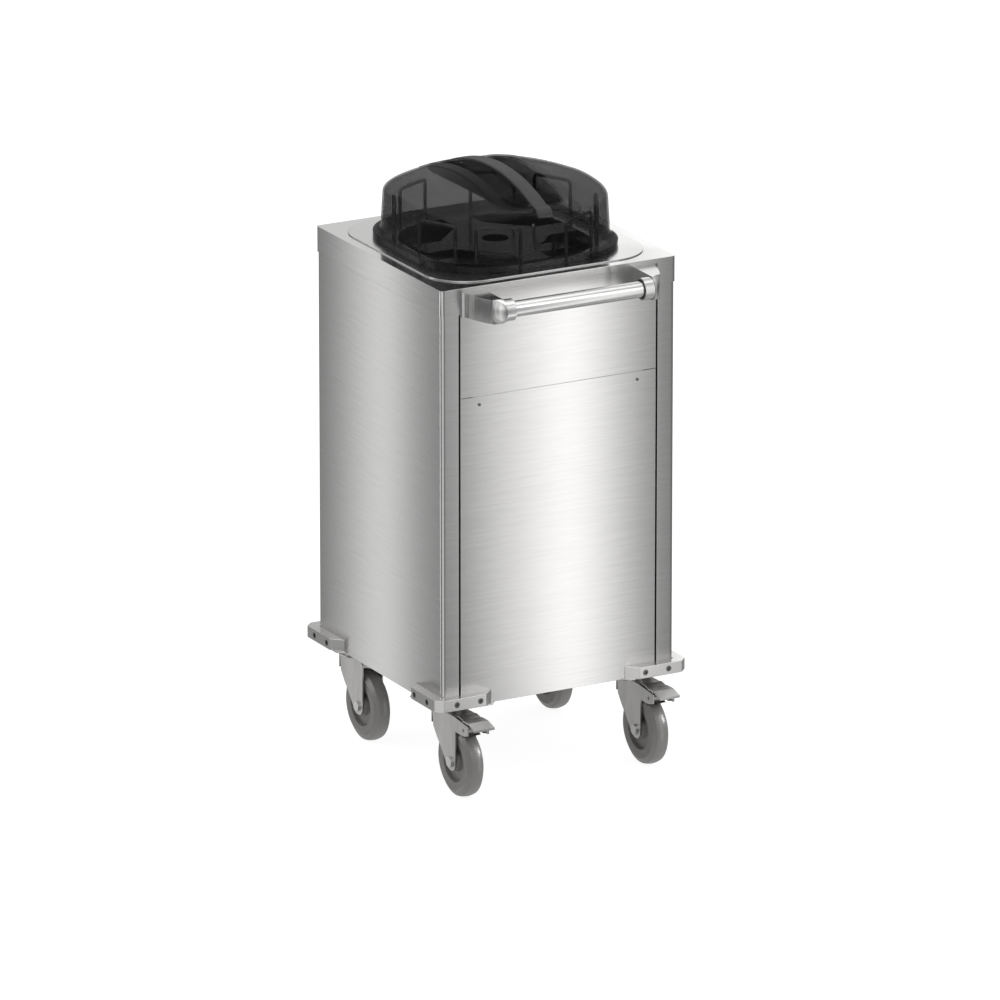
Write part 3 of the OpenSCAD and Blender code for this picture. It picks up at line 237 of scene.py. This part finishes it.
def metal(name, colour, rough, spread, grain=(160.0, 160.0, 160.0), depth=0.1, variation=0.05,
          patches=(9.0, 9.0, 9.0), patch_tone_and_shade=0.03):
    """Even metal with fine marks and cloudy patches of tone, which on the caster steel are painted
    shade.
    """
    g = Graph(name)
    s = g.shader.inputs
    marks = g.noise(grain, detail=6, rough=0.6)
    clouds = g.noise(patches, detail=3, rough=0.5, offset=METAL_CLOUDS_AT)
    shade = g.math("ADD", g.span(marks, 1 - variation, 1 + variation),
                   g.span(clouds, -patch_tone_and_shade, patch_tone_and_shade))
    g.link(g.tint(colour, shade), s["Base Color"])
    s["Metallic"].default_value = 1.0
    g.link(g.math("ADD", g.span(marks, rough - spread, rough + spread),
                  g.span(clouds, -CLOUD_METAL_ROUGH, CLOUD_METAL_ROUGH)), s["Roughness"])
    g.bump(marks, depth)
    return g.material


def moulded(name, colour, rough, spread, grain=700.0, depth=0.3, variation=0.06, specular=0.5):
    """Moulded plastic or rubber with a fine skin."""
    g = Graph(name)
    s = g.shader.inputs
    skin = g.noise((grain, grain, grain), detail=3, rough=0.6)
    clouds = g.noise(SKIN_CLOUDS, detail=4, rough=0.6, offset=SKIN_CLOUDS_AT)
    shade = g.math("ADD", g.span(skin, 1 - variation, 1 + variation),
                   g.span(clouds, -variation, variation))
    g.link(g.tint(colour, shade), s["Base Color"])
    g.link(g.math("ADD", g.span(skin, rough - spread, rough + spread),
                  g.span(clouds, -spread, spread)), s["Roughness"])
    s["Specular IOR Level"].default_value = specular
    g.bump(skin, depth)
    return g.material


# The hood's smoke: how far in mm the masks reach past the strap and recess, colour and alpha
STRAP_REACH, STRAP_DEPTH_REACH, RECESS_REACH, RECESS_DEPTH = 0.3, 0.5, 2, 5
SMOKE_COLOUR, SMOKE_SCUFFS, SMOKE_ROUGH = (0.008, 0.008, 0.008), (0.8, 1.3), (0.03, 0.09)
# How many times paler the strap's colour is than the rest of the smoke: painted light on the strap
STRAP_PAINTED_LIGHT = 9.0
# The recess's IOR of almost 1 takes away its reflections: painted shade in the recess
DOME_IOR, STRAP_IOR, RECESS_IOR = 1.25, 1.5, 1.03
SLANT_BLEND = 0.35
ALPHA_FACING, ALPHA_SLANT = 0.44, 0.66
# How much opaquer the border band round the recess gets, and the strap, the foot and the recess; in
# the recess it is painted shade
BORDER_MORE, OPAQUER_MORE = 0.08, 0.25
RIM_TOP = 1.2  # in rim heights
SCUFF_GRAIN, SCUFF_BUMP, SCUFF_DISTANCE = (60.0, 60.0, 60.0), 0.05, 0.0003


def smoked(name):
    """Smoked clear plastic: each skin lets part of the light straight through, less at a slant and
    in the hand recess, as painted shade, and the grip strap over the recess is paler, as painted
    light."""
    g = Graph(name)
    s = g.shader.inputs
    split = g.node("ShaderNodeSeparateXYZ")
    g.link(g.coords, split.inputs[0])
    x = g.math("ABSOLUTE", split.outputs["X"])
    y = g.math("ABSOLUTE", g.math("SUBTRACT", split.outputs["Y"], BODY_Y))
    spread = g.math("ADD", g.math("MULTIPLY", x, x), g.math("MULTIPLY", y, y))
    dome = g.math("SUBTRACT", FRAME_TOP + (SHOULDER + DOME_RISE) * MM,
                  g.math("MULTIPLY", spread, DOME_RISE / HOOD_HALF ** 2 / MM))
    depth = g.math("SUBTRACT", dome, split.outputs["Z"])
    grip = g.math("MULTIPLY", g.math("LESS_THAN", x, (STRAP_W / 2 + STRAP_REACH) * MM),
                  g.math("LESS_THAN", depth, (STRAP_T + STRAP_DEPTH_REACH) * MM))
    inside = g.math("MULTIPLY", g.math("LESS_THAN", x, (RECESS_W / 2 + RECESS_REACH) * MM),
                    g.math("LESS_THAN", y, (RECESS_L / 2 + RECESS_REACH) * MM))
    deep = g.math("GREATER_THAN", depth, RECESS_DEPTH * MM)
    recess = g.math("MULTIPLY", g.math("MULTIPLY", inside, deep), g.math("SUBTRACT", 1.0, grip))
    border = g.math("SUBTRACT", g.math(
        "MULTIPLY", g.math("LESS_THAN", x, (RECESS_W / 2 + BORDER_W) * MM),
        g.math("LESS_THAN", y, (RECESS_L + BORDER_W) / 2 * MM)), inside)
    scuffs = g.noise(SCUFF_GRAIN, detail=5, rough=0.65)
    # Scuffs vary the smoke's colour, and the strap's paler colour is painted light
    scuffs_and_painted_light = g.math("MULTIPLY", g.span(scuffs, *SMOKE_SCUFFS), g.mix(grip, 1.0, STRAP_PAINTED_LIGHT))
    g.link(g.tint(SMOKE_COLOUR, scuffs_and_painted_light), s["Base Color"])
    g.link(g.span(scuffs, *SMOKE_ROUGH), s["Roughness"])
    # An IOR near 1 in the recess takes its reflections away: painted shade
    g.link(g.mix(recess, g.mix(grip, DOME_IOR, STRAP_IOR), RECESS_IOR), s["IOR"])
    slant = g.node("ShaderNodeLayerWeight")
    slant.inputs["Blend"].default_value = SLANT_BLEND
    rim = g.math("LESS_THAN", split.outputs["Z"], FRAME_TOP + RIM_TOP * RIM_H * MM)
    # Opaquer where the strap is thick, at the hood's foot, and in the recess as painted shade
    opaquer = g.math("MAXIMUM", g.math("MAXIMUM", recess, grip), rim)
    more = g.math("ADD", g.math("MULTIPLY", border, BORDER_MORE),
                  g.math("MULTIPLY", opaquer, OPAQUER_MORE))
    see = g.span(slant.outputs["Facing"], ALPHA_FACING, ALPHA_SLANT, 0.0, 1.0)
    g.link(g.math("ADD", see, more), s["Alpha"])
    g.bump(scuffs, SCUFF_BUMP, SCUFF_DISTANCE)
    return g.material


# ---------------------------------------------------------------- materials
MATERIALS = {
    "casing_steel": brushed("casing_steel", (0.62, 0.615, 0.61), rough=0.23, spread=0.005,
                            aniso=0.92, depth=0.002, variation=0.036),
    "bright_steel": metal("bright_steel", (0.58, 0.58, 0.575), rough=0.23, spread=0.03,
                          depth=0.03),
    "bumper_metal": brushed("bumper_metal", (0.74, 0.735, 0.72), rough=0.34, spread=0.03,
                            aniso=0.3, grain=420.0, depth=0.02, metallic=0.9),
    # On the caster steel the cloudy patches are strong and stretched upright: painted shade
    # standing in for the soft shading of the forks
    "caster_steel": metal("caster_steel", (0.47, 0.465, 0.455), rough=0.33, spread=0.04,
                          depth=0.05, patches=(34.0, 34.0, 10.0), patch_tone_and_shade=0.16),
    "fastener_steel": metal("fastener_steel", (0.20, 0.20, 0.20), rough=0.36, spread=0.08,
                            grain=(500.0, 500.0, 500.0)),
    "spring_steel": metal("spring_steel", (0.45, 0.45, 0.46), rough=0.28, spread=0.05,
                          grain=(400.0, 400.0, 60.0)),
    "smoked_plastic": smoked("smoked_plastic"),
    "grey_tyre": moulded("grey_tyre", (0.15, 0.147, 0.142), rough=0.27, spread=0.02,
                         grain=900.0, depth=0.03, variation=0.025, specular=0.8),
    "grey_core": moulded("grey_core", (0.13, 0.127, 0.122), rough=0.31, spread=0.02,
                         grain=900.0, depth=0.03, variation=0.025, specular=0.7),
    "black_rubber": moulded("black_rubber", (0.02, 0.02, 0.02), rough=0.55, spread=0.08),
    "bush_plastic": moulded("bush_plastic", (0.62, 0.6, 0.52), rough=0.4, spread=0.05,
                            grain=300.0),
}

SLOT_OF = {part["node"]: part["material_slot"] for part in frame["record"]["subparts"]}


def dress(obj, slot):
    obj.data.materials.clear()
    obj.data.materials.append(MATERIALS[slot])


WELD_GAP = 1e-6
EDGE_SEGMENTS = 2
SHARP_ANGLE = math.radians(32)
SHORTEST_EDGE = 0.003


def mark_long_edges(mesh):
    """Gives the sharp edges that are long enough a bevel weight, rims of holes none."""
    spot = [tuple(round(c / WELD_GAP) for c in v.co) for v in mesh.vertices]
    sides = {}
    for polygon in mesh.polygons:
        for a, b in polygon.edge_keys:
            sides.setdefault(frozenset((spot[a], spot[b])), []).append(polygon.normal.copy())
    weights = mesh.attributes.new("bevel_weight_edge", "FLOAT", "EDGE")
    for edge in mesh.edges:
        a, b = edge.vertices
        normals = sides.get(frozenset((spot[a], spot[b])), [])
        if (len(normals) == 2 and normals[0].angle(normals[1], 0.0) > SHARP_ANGLE
                and (mesh.vertices[a].co - mesh.vertices[b].co).length > SHORTEST_EDGE):
            weights.data[edge.index].value = 1.0


def soften(obj, width):
    """Welds the split corners and rounds the long sharp edges, so that they catch the light."""
    mark_long_edges(obj.data)
    weld = obj.modifiers.new("weld", "WELD")
    weld.merge_threshold = WELD_GAP
    bevel = obj.modifiers.new("edges", "BEVEL")
    bevel.width = width
    bevel.segments = EDGE_SEGMENTS
    bevel.limit_method = "WEIGHT"
    bevel.harden_normals = True
    bevel.use_clamp_overlap = True


# Width in mm of the rounding of long edges, by the start of the piece's name
SOFT_EDGES = {
    "bumper_front_": 1.2, "bumper_rear_": 1.2, "handle_bracket_": 1.2, "handle_collars": 0.8,
    "top_frame": 0.5, "top_cap": 0.6, "left_side_panel": 0.6, "right_side_panel": 0.6,
    "upper_front_panel": 0.5, "lower_front_panel": 0.5, "rear_panel": 0.5, "platform": 0.5,
    "brake_pedal_": 0.6, "fork_": 0.6, "caster_plate_": 0.4,
}
UNSOFTENED = ("platform_screws", "caster_plate_bolts")

for name, obj in NODES.items():
    dress(obj, SLOT_OF[name])
    if name not in UNSOFTENED:
        for start, width in SOFT_EDGES.items():
            if name.startswith(start):
                soften(obj, width * MM)


# ---------------------------------------------------------------- hood
def edge_at(hx, hy, r, a):
    """Distance from the middle to the edge of a rounded rectangle, at the angles a."""
    c, s = np.abs(np.cos(a)), np.abs(np.sin(a))
    mx, my = hx - r, hy - r
    corner = mx * c + my * s + np.sqrt(np.maximum(0, r * r - (mx * s - my * c) ** 2))
    with np.errstate(divide="ignore"):
        return np.where(s * hx <= my * c, hx / np.maximum(c, NEARLY_ZERO),
                        np.where(c * hy <= mx * s, hy / np.maximum(s, NEARLY_ZERO), corner))


def dome_z(x, y):
    return SHOULDER + DOME_RISE * (1 - (x * x + y * y) / HOOD_HALF ** 2)


def smoothed(points):
    """A polyline through the points, rounded twice by corner cutting."""
    near, far = 0.75, 0.25
    line = np.array(points, float)
    for _ in range(2):
        cut = np.empty((2 * len(line) - 2, line.shape[1]))
        cut[0::2] = line[:-1] * near + line[1:] * far
        cut[1::2] = line[:-1] * far + line[1:] * near
        line = np.vstack([line[:1], cut, line[-1:]])
    return line


def hood_rings(t):
    """Rings of the outer surface (t = 0) or of the inner one (t = the wall), rim to middle.
    Each ring is an array of points in mm, from the top frame up."""
    a = np.arange(SPOKES) * 2 * math.pi / SPOKES
    cs = np.stack([np.cos(a), np.sin(a)], 1)
    rings = []

    def put(d, z):
        z = np.broadcast_to(z, d.shape)
        rings.append(np.column_stack([cs * d[:, None], z]))

    rim = edge_at(RIM_HALF - t, RIM_HALF - t, RIM_R - t, a)
    wall = edge_at(HOOD_HALF - t, HOOD_HALF - t, HOOD_R - t, a)
    for share, height in smoothed(FOOT_PROFILE):
        put(rim + (wall - rim) * share, height * RIM_H)
    leant = edge_at(HOOD_HALF - WALL_LEAN - t, HOOD_HALF - WALL_LEAN - t, HOOD_R - t, a)
    top = dome_z(leant * cs[:, 0], leant * cs[:, 1]) - SHOULDER_R - t / 2
    for share in WALL_SHARES:
        put(wall + (leant - wall) * share, WALL_FOOT + (top - WALL_FOOT) * share)
    border = edge_at(RECESS_W / 2 + BORDER_W, RECESS_L / 2 + BORDER_W / 2,
                     RECESS_R + BORDER_W / 2, a)
    brim = edge_at(RECESS_W / 2 + t, RECESS_L / 2 + t, RECESS_R + t, a)

    def on_dome(d, rise=0.0):
        return dome_z(d * cs[:, 0], d * cs[:, 1]) + rise - t

    # rounded shoulder
    inner = leant - SHOULDER_R
    for k in range(1, SHOULDER_STEPS + 1):
        w = math.radians(90 * k / SHOULDER_STEPS)
        put(leant - SHOULDER_R * (1 - math.cos(w)),
            top * (1 - math.sin(w)) + on_dome(inner) * math.sin(w))
    for share in np.linspace(*DOME_SHARES):
        d = border + (inner - border) * share
        put(d, on_dome(d))
    for off, rise in BORDER_STEPS:
        d = border - off
        put(d, on_dome(d, rise))
    lip = brim + BRIM_R
    for k in range(1, BORDER_RINGS + 1):
        d = (border - BORDER_EDGE) + (lip - border + BORDER_EDGE) * k / BORDER_RINGS
        put(d, on_dome(d, BORDER_RISE))
    # rounded brim, near-upright recess wall, rounded foot and floor
    high = on_dome(brim, BORDER_RISE)
    low = np.minimum(on_dome(brim - DRAFT), FLOOR - t)
    for w in BRIM_ANGLES:
        r = math.radians(w)
        put(brim + BRIM_R * (1 - math.sin(r)),
            high - np.minimum(BRIM_R, (high - low) / 3) * (1 - math.cos(r)))
    for share in RECESS_SHARES:
        put(brim - (DRAFT - RECESS_FOOT) * share,
            high + (low - high) * (RECESS_TOP + RECESS_MIDDLE * share))
    put(brim - DRAFT + FLOOR_RIM, low + (high - low) * FLOOR_RISE)
    put(brim - DRAFT, low)
    flat = np.minimum(on_dome(brim - DRAFT - FLOOR_STEP), FLOOR - t)
    put(brim - DRAFT - FLOOR_STEP, flat)
    for share in FLOOR_SHARES:
        d = brim * share
        put(d, np.minimum(on_dome(d), FLOOR - t))
    return rings


def mesh_object(name, verts, faces, smooth=True):
    data = bpy.data.meshes.new(name)
    data.from_pydata([tuple(v) for v in verts], [], [tuple(f) for f in faces])
    data.validate()
    if smooth:
        data.polygons.foreach_set("use_smooth", [True] * len(data.polygons))
    obj = bpy.data.objects.new(name, data)
    bpy.context.scene.collection.objects.link(obj)
    return obj


def place(points):
    """Points in mm round the casing's middle and above the top frame, to the row frame."""
    p = np.asarray(points, float) * MM
    p[:, 1] += BODY_Y
    p[:, 2] += FRAME_TOP
    return p


def ring_faces(count, rings, base=0, flip=False):
    faces = []
    for i in range(rings - 1):
        for j in range(count):
            k = (j + 1) % count
            f = [base + i * count + j, base + i * count + k, base + (i + 1) * count + k,
                 base + (i + 1) * count + j]
            faces.append(f[::-1] if flip else f)
    return faces


def hood_shell():
    outer, inner = hood_rings(0.0), hood_rings(HOOD_WALL)
    n, count = SPOKES, len(outer)
    verts = np.vstack(outer + [np.array([[0, 0, FLOOR]])] + inner
                      + [np.array([[0, 0, FLOOR - HOOD_WALL]])])
    faces = ring_faces(n, count)
    last = (count - 1) * n
    faces += [[last + j, last + (j + 1) % n, count * n] for j in range(n)]
    base = count * n + 1
    faces += ring_faces(n, count, base, True)
    faces += [[base + last + (j + 1) % n, base + last + j, base + count * n] for j in range(n)]
    faces += [[(j + 1) % n, j, base + j, base + (j + 1) % n] for j in range(n)]
    return mesh_object("hood_shell", place(verts), faces)


def strap():
    """Grip strap along Y over the recess, with a rounded section."""
    steps, around = STRAP_STEPS, STRAP_AROUND
    verts = []
    for i in range(steps + 1):
        q = 2 * i / steps - 1
        y = STRAP_HALF * q
        thick = STRAP_T + (HOOD_WALL / 3 - STRAP_T) * abs(q) ** STRAP_THIN_POWER
        for j in range(around):
            a = 2 * math.pi * j / around
            cx, cz = math.cos(a), math.sin(a)
            x = STRAP_W / 2 * math.copysign(abs(cx) ** STRAP_ROUND, cx)
            z = math.copysign(abs(cz) ** STRAP_ROUND, cz)
            top = (float(dome_z(np.array(x), np.array(y))) + STRAP_LIFT
                   - (STRAP_LIFT + HOOD_WALL / 2) * q ** STRAP_SINK_POWER)
            verts.append((x, y, top - thick * (1 - z) / 2))
    faces = ring_faces(around, steps + 1, 0, True)
    faces.append(list(range(around)))
    end = steps * around
    faces.append([end + j for j in reversed(range(around))])
    return mesh_object("hood_strap", place(np.array(verts)), faces)


def fix_normals(obj):
    bm = bmesh.new()
    bm.from_mesh(obj.data)
    bmesh.ops.recalc_face_normals(bm, faces=bm.faces)
    bm.to_mesh(obj.data)
    bm.free()


def apply_modifiers(obj):
    graph = bpy.context.evaluated_depsgraph_get()
    data = bpy.data.meshes.new_from_object(obj.evaluated_get(graph))
    obj.modifiers.clear()
    obj.data = data


def make_hood():
    shell, grip = hood_shell(), strap()
    for part in (shell, grip):
        fix_normals(part)
    join = shell.modifiers.new("join", "BOOLEAN")
    join.operation = "UNION"
    join.solver = "EXACT"
    join.object = grip
    apply_modifiers(shell)
    bpy.data.objects.remove(grip)
    shell.name = "smoked_hood"
    shell.data.polygons.foreach_set("use_smooth", [True] * len(shell.data.polygons))
    shell.data.set_sharp_from_angle(angle=math.radians(HOOD_SMOOTH_ANGLE))
    dress(shell, "smoked_plastic")
    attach(shell, "hood_body")
    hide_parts("hood")


make_hood()


# ---------------------------------------------------------------- studio
def grey(value):
    return (value, value, value, 1)


def emitter(name, size_x, size_y, location, aim, brightness):
    """A soft box. Its brightness is the value that a mirror would show of it."""
    data = bpy.data.lights.new(name, "AREA")
    data.shape = "RECTANGLE"
    data.size, data.size_y = size_x, size_y
    data.energy = brightness * math.pi * size_x * size_y
    lamp = bpy.data.objects.new(name, data)
    bpy.context.scene.collection.objects.link(lamp)
    lamp.location = location
    lamp.rotation_euler = (Vector(aim) - Vector(location)).to_track_quat("-Z", "Y").to_euler()
    lamp.visible_camera = False
    return lamp


FLOOR_HALF, FLOOR_GREY, FLOOR_ROUGH, FLOOR_GLOW = 30.0, 0.45, 0.9, 0.86


def make_floor():
    corners = [(x * FLOOR_HALF, y * FLOOR_HALF, 0) for x, y in ((-1, -1), (1, -1), (1, 1), (-1, 1))]
    floor = mesh_object("floor", corners, [(0, 1, 2, 3)], False)
    g = Graph("floor")
    s = g.shader.inputs
    s["Base Color"].default_value = grey(FLOOR_GREY)
    s["Roughness"].default_value = FLOOR_ROUGH
    s["Specular IOR Level"].default_value = 0.0
    s["Emission Color"].default_value = grey(1)
    s["Emission Strength"].default_value = FLOOR_GLOW
    floor.data.materials.append(g.material)
    floor.visible_glossy = False
    floor.visible_shadow = False


# Brightness of the world by height, from straight below (0) to straight above (1)
WORLD_PROFILE = [(0.0, 0.6), (0.2, 0.4), (0.34, 0.2), (0.5, 0.17), (0.6, 0.35), (1.0, 0.9)]


def fill_ramp(ramp, profile):
    """Sets a colour ramp's grey stops."""
    stops = ramp.color_ramp.elements
    for stop, (position, value) in zip(stops, (profile[0], profile[-1])):
        stop.position, stop.color = position, grey(value)
    for position, value in profile[1:-1]:
        stops.new(position).color = grey(value)


def make_world():
    world = bpy.data.worlds.new("studio")
    bpy.context.scene.world = world
    world.use_nodes = True
    tree = world.node_tree
    back = tree.nodes["Background"]
    coords = tree.nodes.new("ShaderNodeTexCoord").outputs["Generated"]
    split = tree.nodes.new("ShaderNodeSeparateXYZ")
    tree.links.new(coords, split.inputs[0])
    ramp = tree.nodes.new("ShaderNodeValToRGB")
    lift = tree.nodes.new("ShaderNodeMapRange")
    lift.inputs["From Min"].default_value = -1
    lift.inputs["From Max"].default_value = 1
    tree.links.new(split.outputs["Z"], lift.inputs["Value"])
    tree.links.new(lift.outputs[0], ramp.inputs["Fac"])
    fill_ramp(ramp, WORLD_PROFILE)
    glow = tree.nodes.new("ShaderNodeBackground")
    glow.inputs["Color"].default_value = grey(1)
    tree.links.new(ramp.outputs["Color"], back.inputs["Color"])
    back.inputs["Strength"].default_value = 1.0
    path = tree.nodes.new("ShaderNodeLightPath")
    mix = tree.nodes.new("ShaderNodeMixShader")
    tree.links.new(path.outputs["Is Camera Ray"], mix.inputs["Fac"])
    tree.links.new(back.outputs[0], mix.inputs[1])
    tree.links.new(glow.outputs[0], mix.inputs[2])
    tree.links.new(mix.outputs[0], tree.nodes["World Output"].inputs["Surface"])


# Brightness of the soft boxes over their width
FRONT_PROFILE = [(0.0, 0.02), (0.16, 0.04), (0.24, 0.32), (0.4, 0.55), (0.5, 0.88), (0.57, 1.0),
                 (0.68, 0.6), (0.79, 0.26), (0.9, 0.0), (1.0, 0.0)]
EVEN_PROFILE = [(0.0, 0.1), (0.3, 0.5), (0.55, 1.0), (0.75, 0.5), (1.0, 0.1)]
LEFT_PROFILE = [(0.0, 0.0), (0.15, 0.1), (0.4, 0.62), (0.55, 1.0), (0.62, 0.8), (0.7, 0.12),
                (0.82, 0.0), (1.0, 0.0)]
BACK_PROFILE = [(0.0, 1.0), (0.5, 0.85), (1.0, 0.3)]


def graded(lamp, profile):
    """Lets the brightness of a soft box vary over its width."""
    data = lamp.data
    data.use_nodes = True
    tree = data.node_tree
    emission = tree.nodes["Emission"]
    place_on = tree.nodes.new("ShaderNodeNewGeometry").outputs["Parametric"]
    split = tree.nodes.new("ShaderNodeSeparateXYZ")
    ramp = tree.nodes.new("ShaderNodeValToRGB")
    tree.links.new(place_on, split.inputs[0])
    tree.links.new(split.outputs["X"], ramp.inputs["Fac"])
    tree.links.new(ramp.outputs["Color"], emission.inputs["Color"])
    fill_ramp(ramp, profile)


def lights_only(lamps, group, starts, but=False):
    """Lets the lamps light only the pieces whose names start so, or only the others."""
    lit = bpy.data.collections.new(group)
    for name, obj in NODES.items():
        if name.startswith(starts) != but:
            lit.objects.link(obj)
    for lamp in lamps:
        lamp.light_linking.receiver_collection = lit


# The upright strips: height of their middle and length
STRIP_UP, STRIP_TALL = 0.75, 2.2
# Normal of the face that mirrors the strip, direction it is seen from (None is the camera's),
# distance, width, brightness, profile
FROM_BEHIND, FROM_RIGHT = (-1, 1, 0.3), (1, -1, 0.3)
STRIPS = {
    "strip_front": ((0, -1, 0), None, 0.9, 0.50, 1.76, FRONT_PROFILE),
    "strip_left": ((-1, 0, 0), None, 0.6, 0.27, 1.15, LEFT_PROFILE),
}
# the same for the faces as seen from the other corners
STRIPS_ROUND = {
    "strip_left_back": ((-1, 0, 0), FROM_BEHIND, 0.8, 0.42, 0.6, EVEN_PROFILE),
    "strip_rear": ((0, 1, 0), FROM_BEHIND, 0.8, 0.42, 0.9, EVEN_PROFILE),
    "strip_right": ((1, 0, 0), FROM_RIGHT, 0.8, 0.42, 0.9, EVEN_PROFILE),
    "strip_front_far": ((0, -1, 0), FROM_RIGHT, 0.8, 0.42, 0.9, EVEN_PROFILE),
}
# The other soft boxes: width, height, place, aim, brightness
EDGE_LEFT = (0.5, 2.2, (-1.45, 0.66, 0.75), (-0.22, -0.2, 0.6), 1.4)
BACK_BOX = (2.2, 1.1, (1.14, 2.1, 1.7), (0, 0, 0.9), 0.62)
TOP_BOX = (2.0, 2.0, (0.2, -0.3, 2.9), (0, 0, 0.7), 1.0)
FILL_FRONT = (1.6, 1.2, (-1.4, -2.6, 1.7), (0, 0, 0.5), 0.4)
KEY_RIGHT = (0.7, 0.5, (1.2, -2.1, 1.95), (0, -0.2, 0.3), 2.6)
KEY_SIDE = (0.5, 0.6, (1.7, -1.5, 1.15), (-0.18, -0.2, 0.06), 22.0)
FLOOR_GLOW_BOX = (1.4, 0.7, (-0.75, 0.95, -0.25), (-0.2, 0, 0.1), 0.28)

UNDER_HOOD = ("hood", "platform", "lift_carriage", "carriage_bushes", "plate_guides_",
              "guide_rods", "spring", "rod_buffers")
LOW_PIECES = ("tyre_", "wheel_core_", "bumper_", "fork_", "handle_tube", "brake_pedal_")
CASTER_STEEL = ("fork_", "caster_plate_", "axle_", "brake_pedal_")


def strip(name, normal, seen_from, reach, width, brightness, profile):
    """An upright soft box where the face with this normal mirrors this view."""
    n = Vector(normal)
    view = -FORWARD if seen_from is None else Vector(seen_from)
    mirrored = n * (2 * n.dot(view)) - view
    level = Vector((mirrored.x, mirrored.y, 0)).normalized()
    face = Vector((0, BODY_Y, STRIP_UP)) + n * (cap_hi.x - cap_lo.x) / 2
    lamp = emitter(name, width, STRIP_TALL, face + level * reach, face, brightness)
    graded(lamp, profile)
    return lamp


def make_lights():
    front, left = [strip(name, *values) for name, values in STRIPS.items()]
    # one to the left lights the rounded upright corner, one behind the flat top
    edge = emitter("edge_left", *EDGE_LEFT)
    back = emitter("back_box", *BACK_BOX)
    graded(back, BACK_PROFILE)
    top = emitter("top_box", *TOP_BOX)
    round_about = [strip(name, *values) for name, values in STRIPS_ROUND.items()]
    lights_only([front, back, top] + round_about, "outside", UNDER_HOOD, but=True)
    lights_only([left, edge], "casing", UNDER_HOOD + ("bumper_", "handle_"), but=True)
    emitter("fill_front", *FILL_FRONT)
    # a small one high on the right gives the treads and the handle their highlights
    key = emitter("key_right", *KEY_RIGHT)
    side = emitter("key_side", *KEY_SIDE)
    lights_only([key], "wheels_and_handle", LOW_PIECES)
    lights_only([side], "tyres", "tyre_")
    # a wide low one stands for the pale floor that the casters' upright faces mirror
    under = emitter("floor_glow", *FLOOR_GLOW_BOX)
    lights_only([under], "casters", CASTER_STEEL)


make_camera()
make_floor()
make_world()
make_lights()
bpy.context.scene.view_settings.view_transform = "Standard"
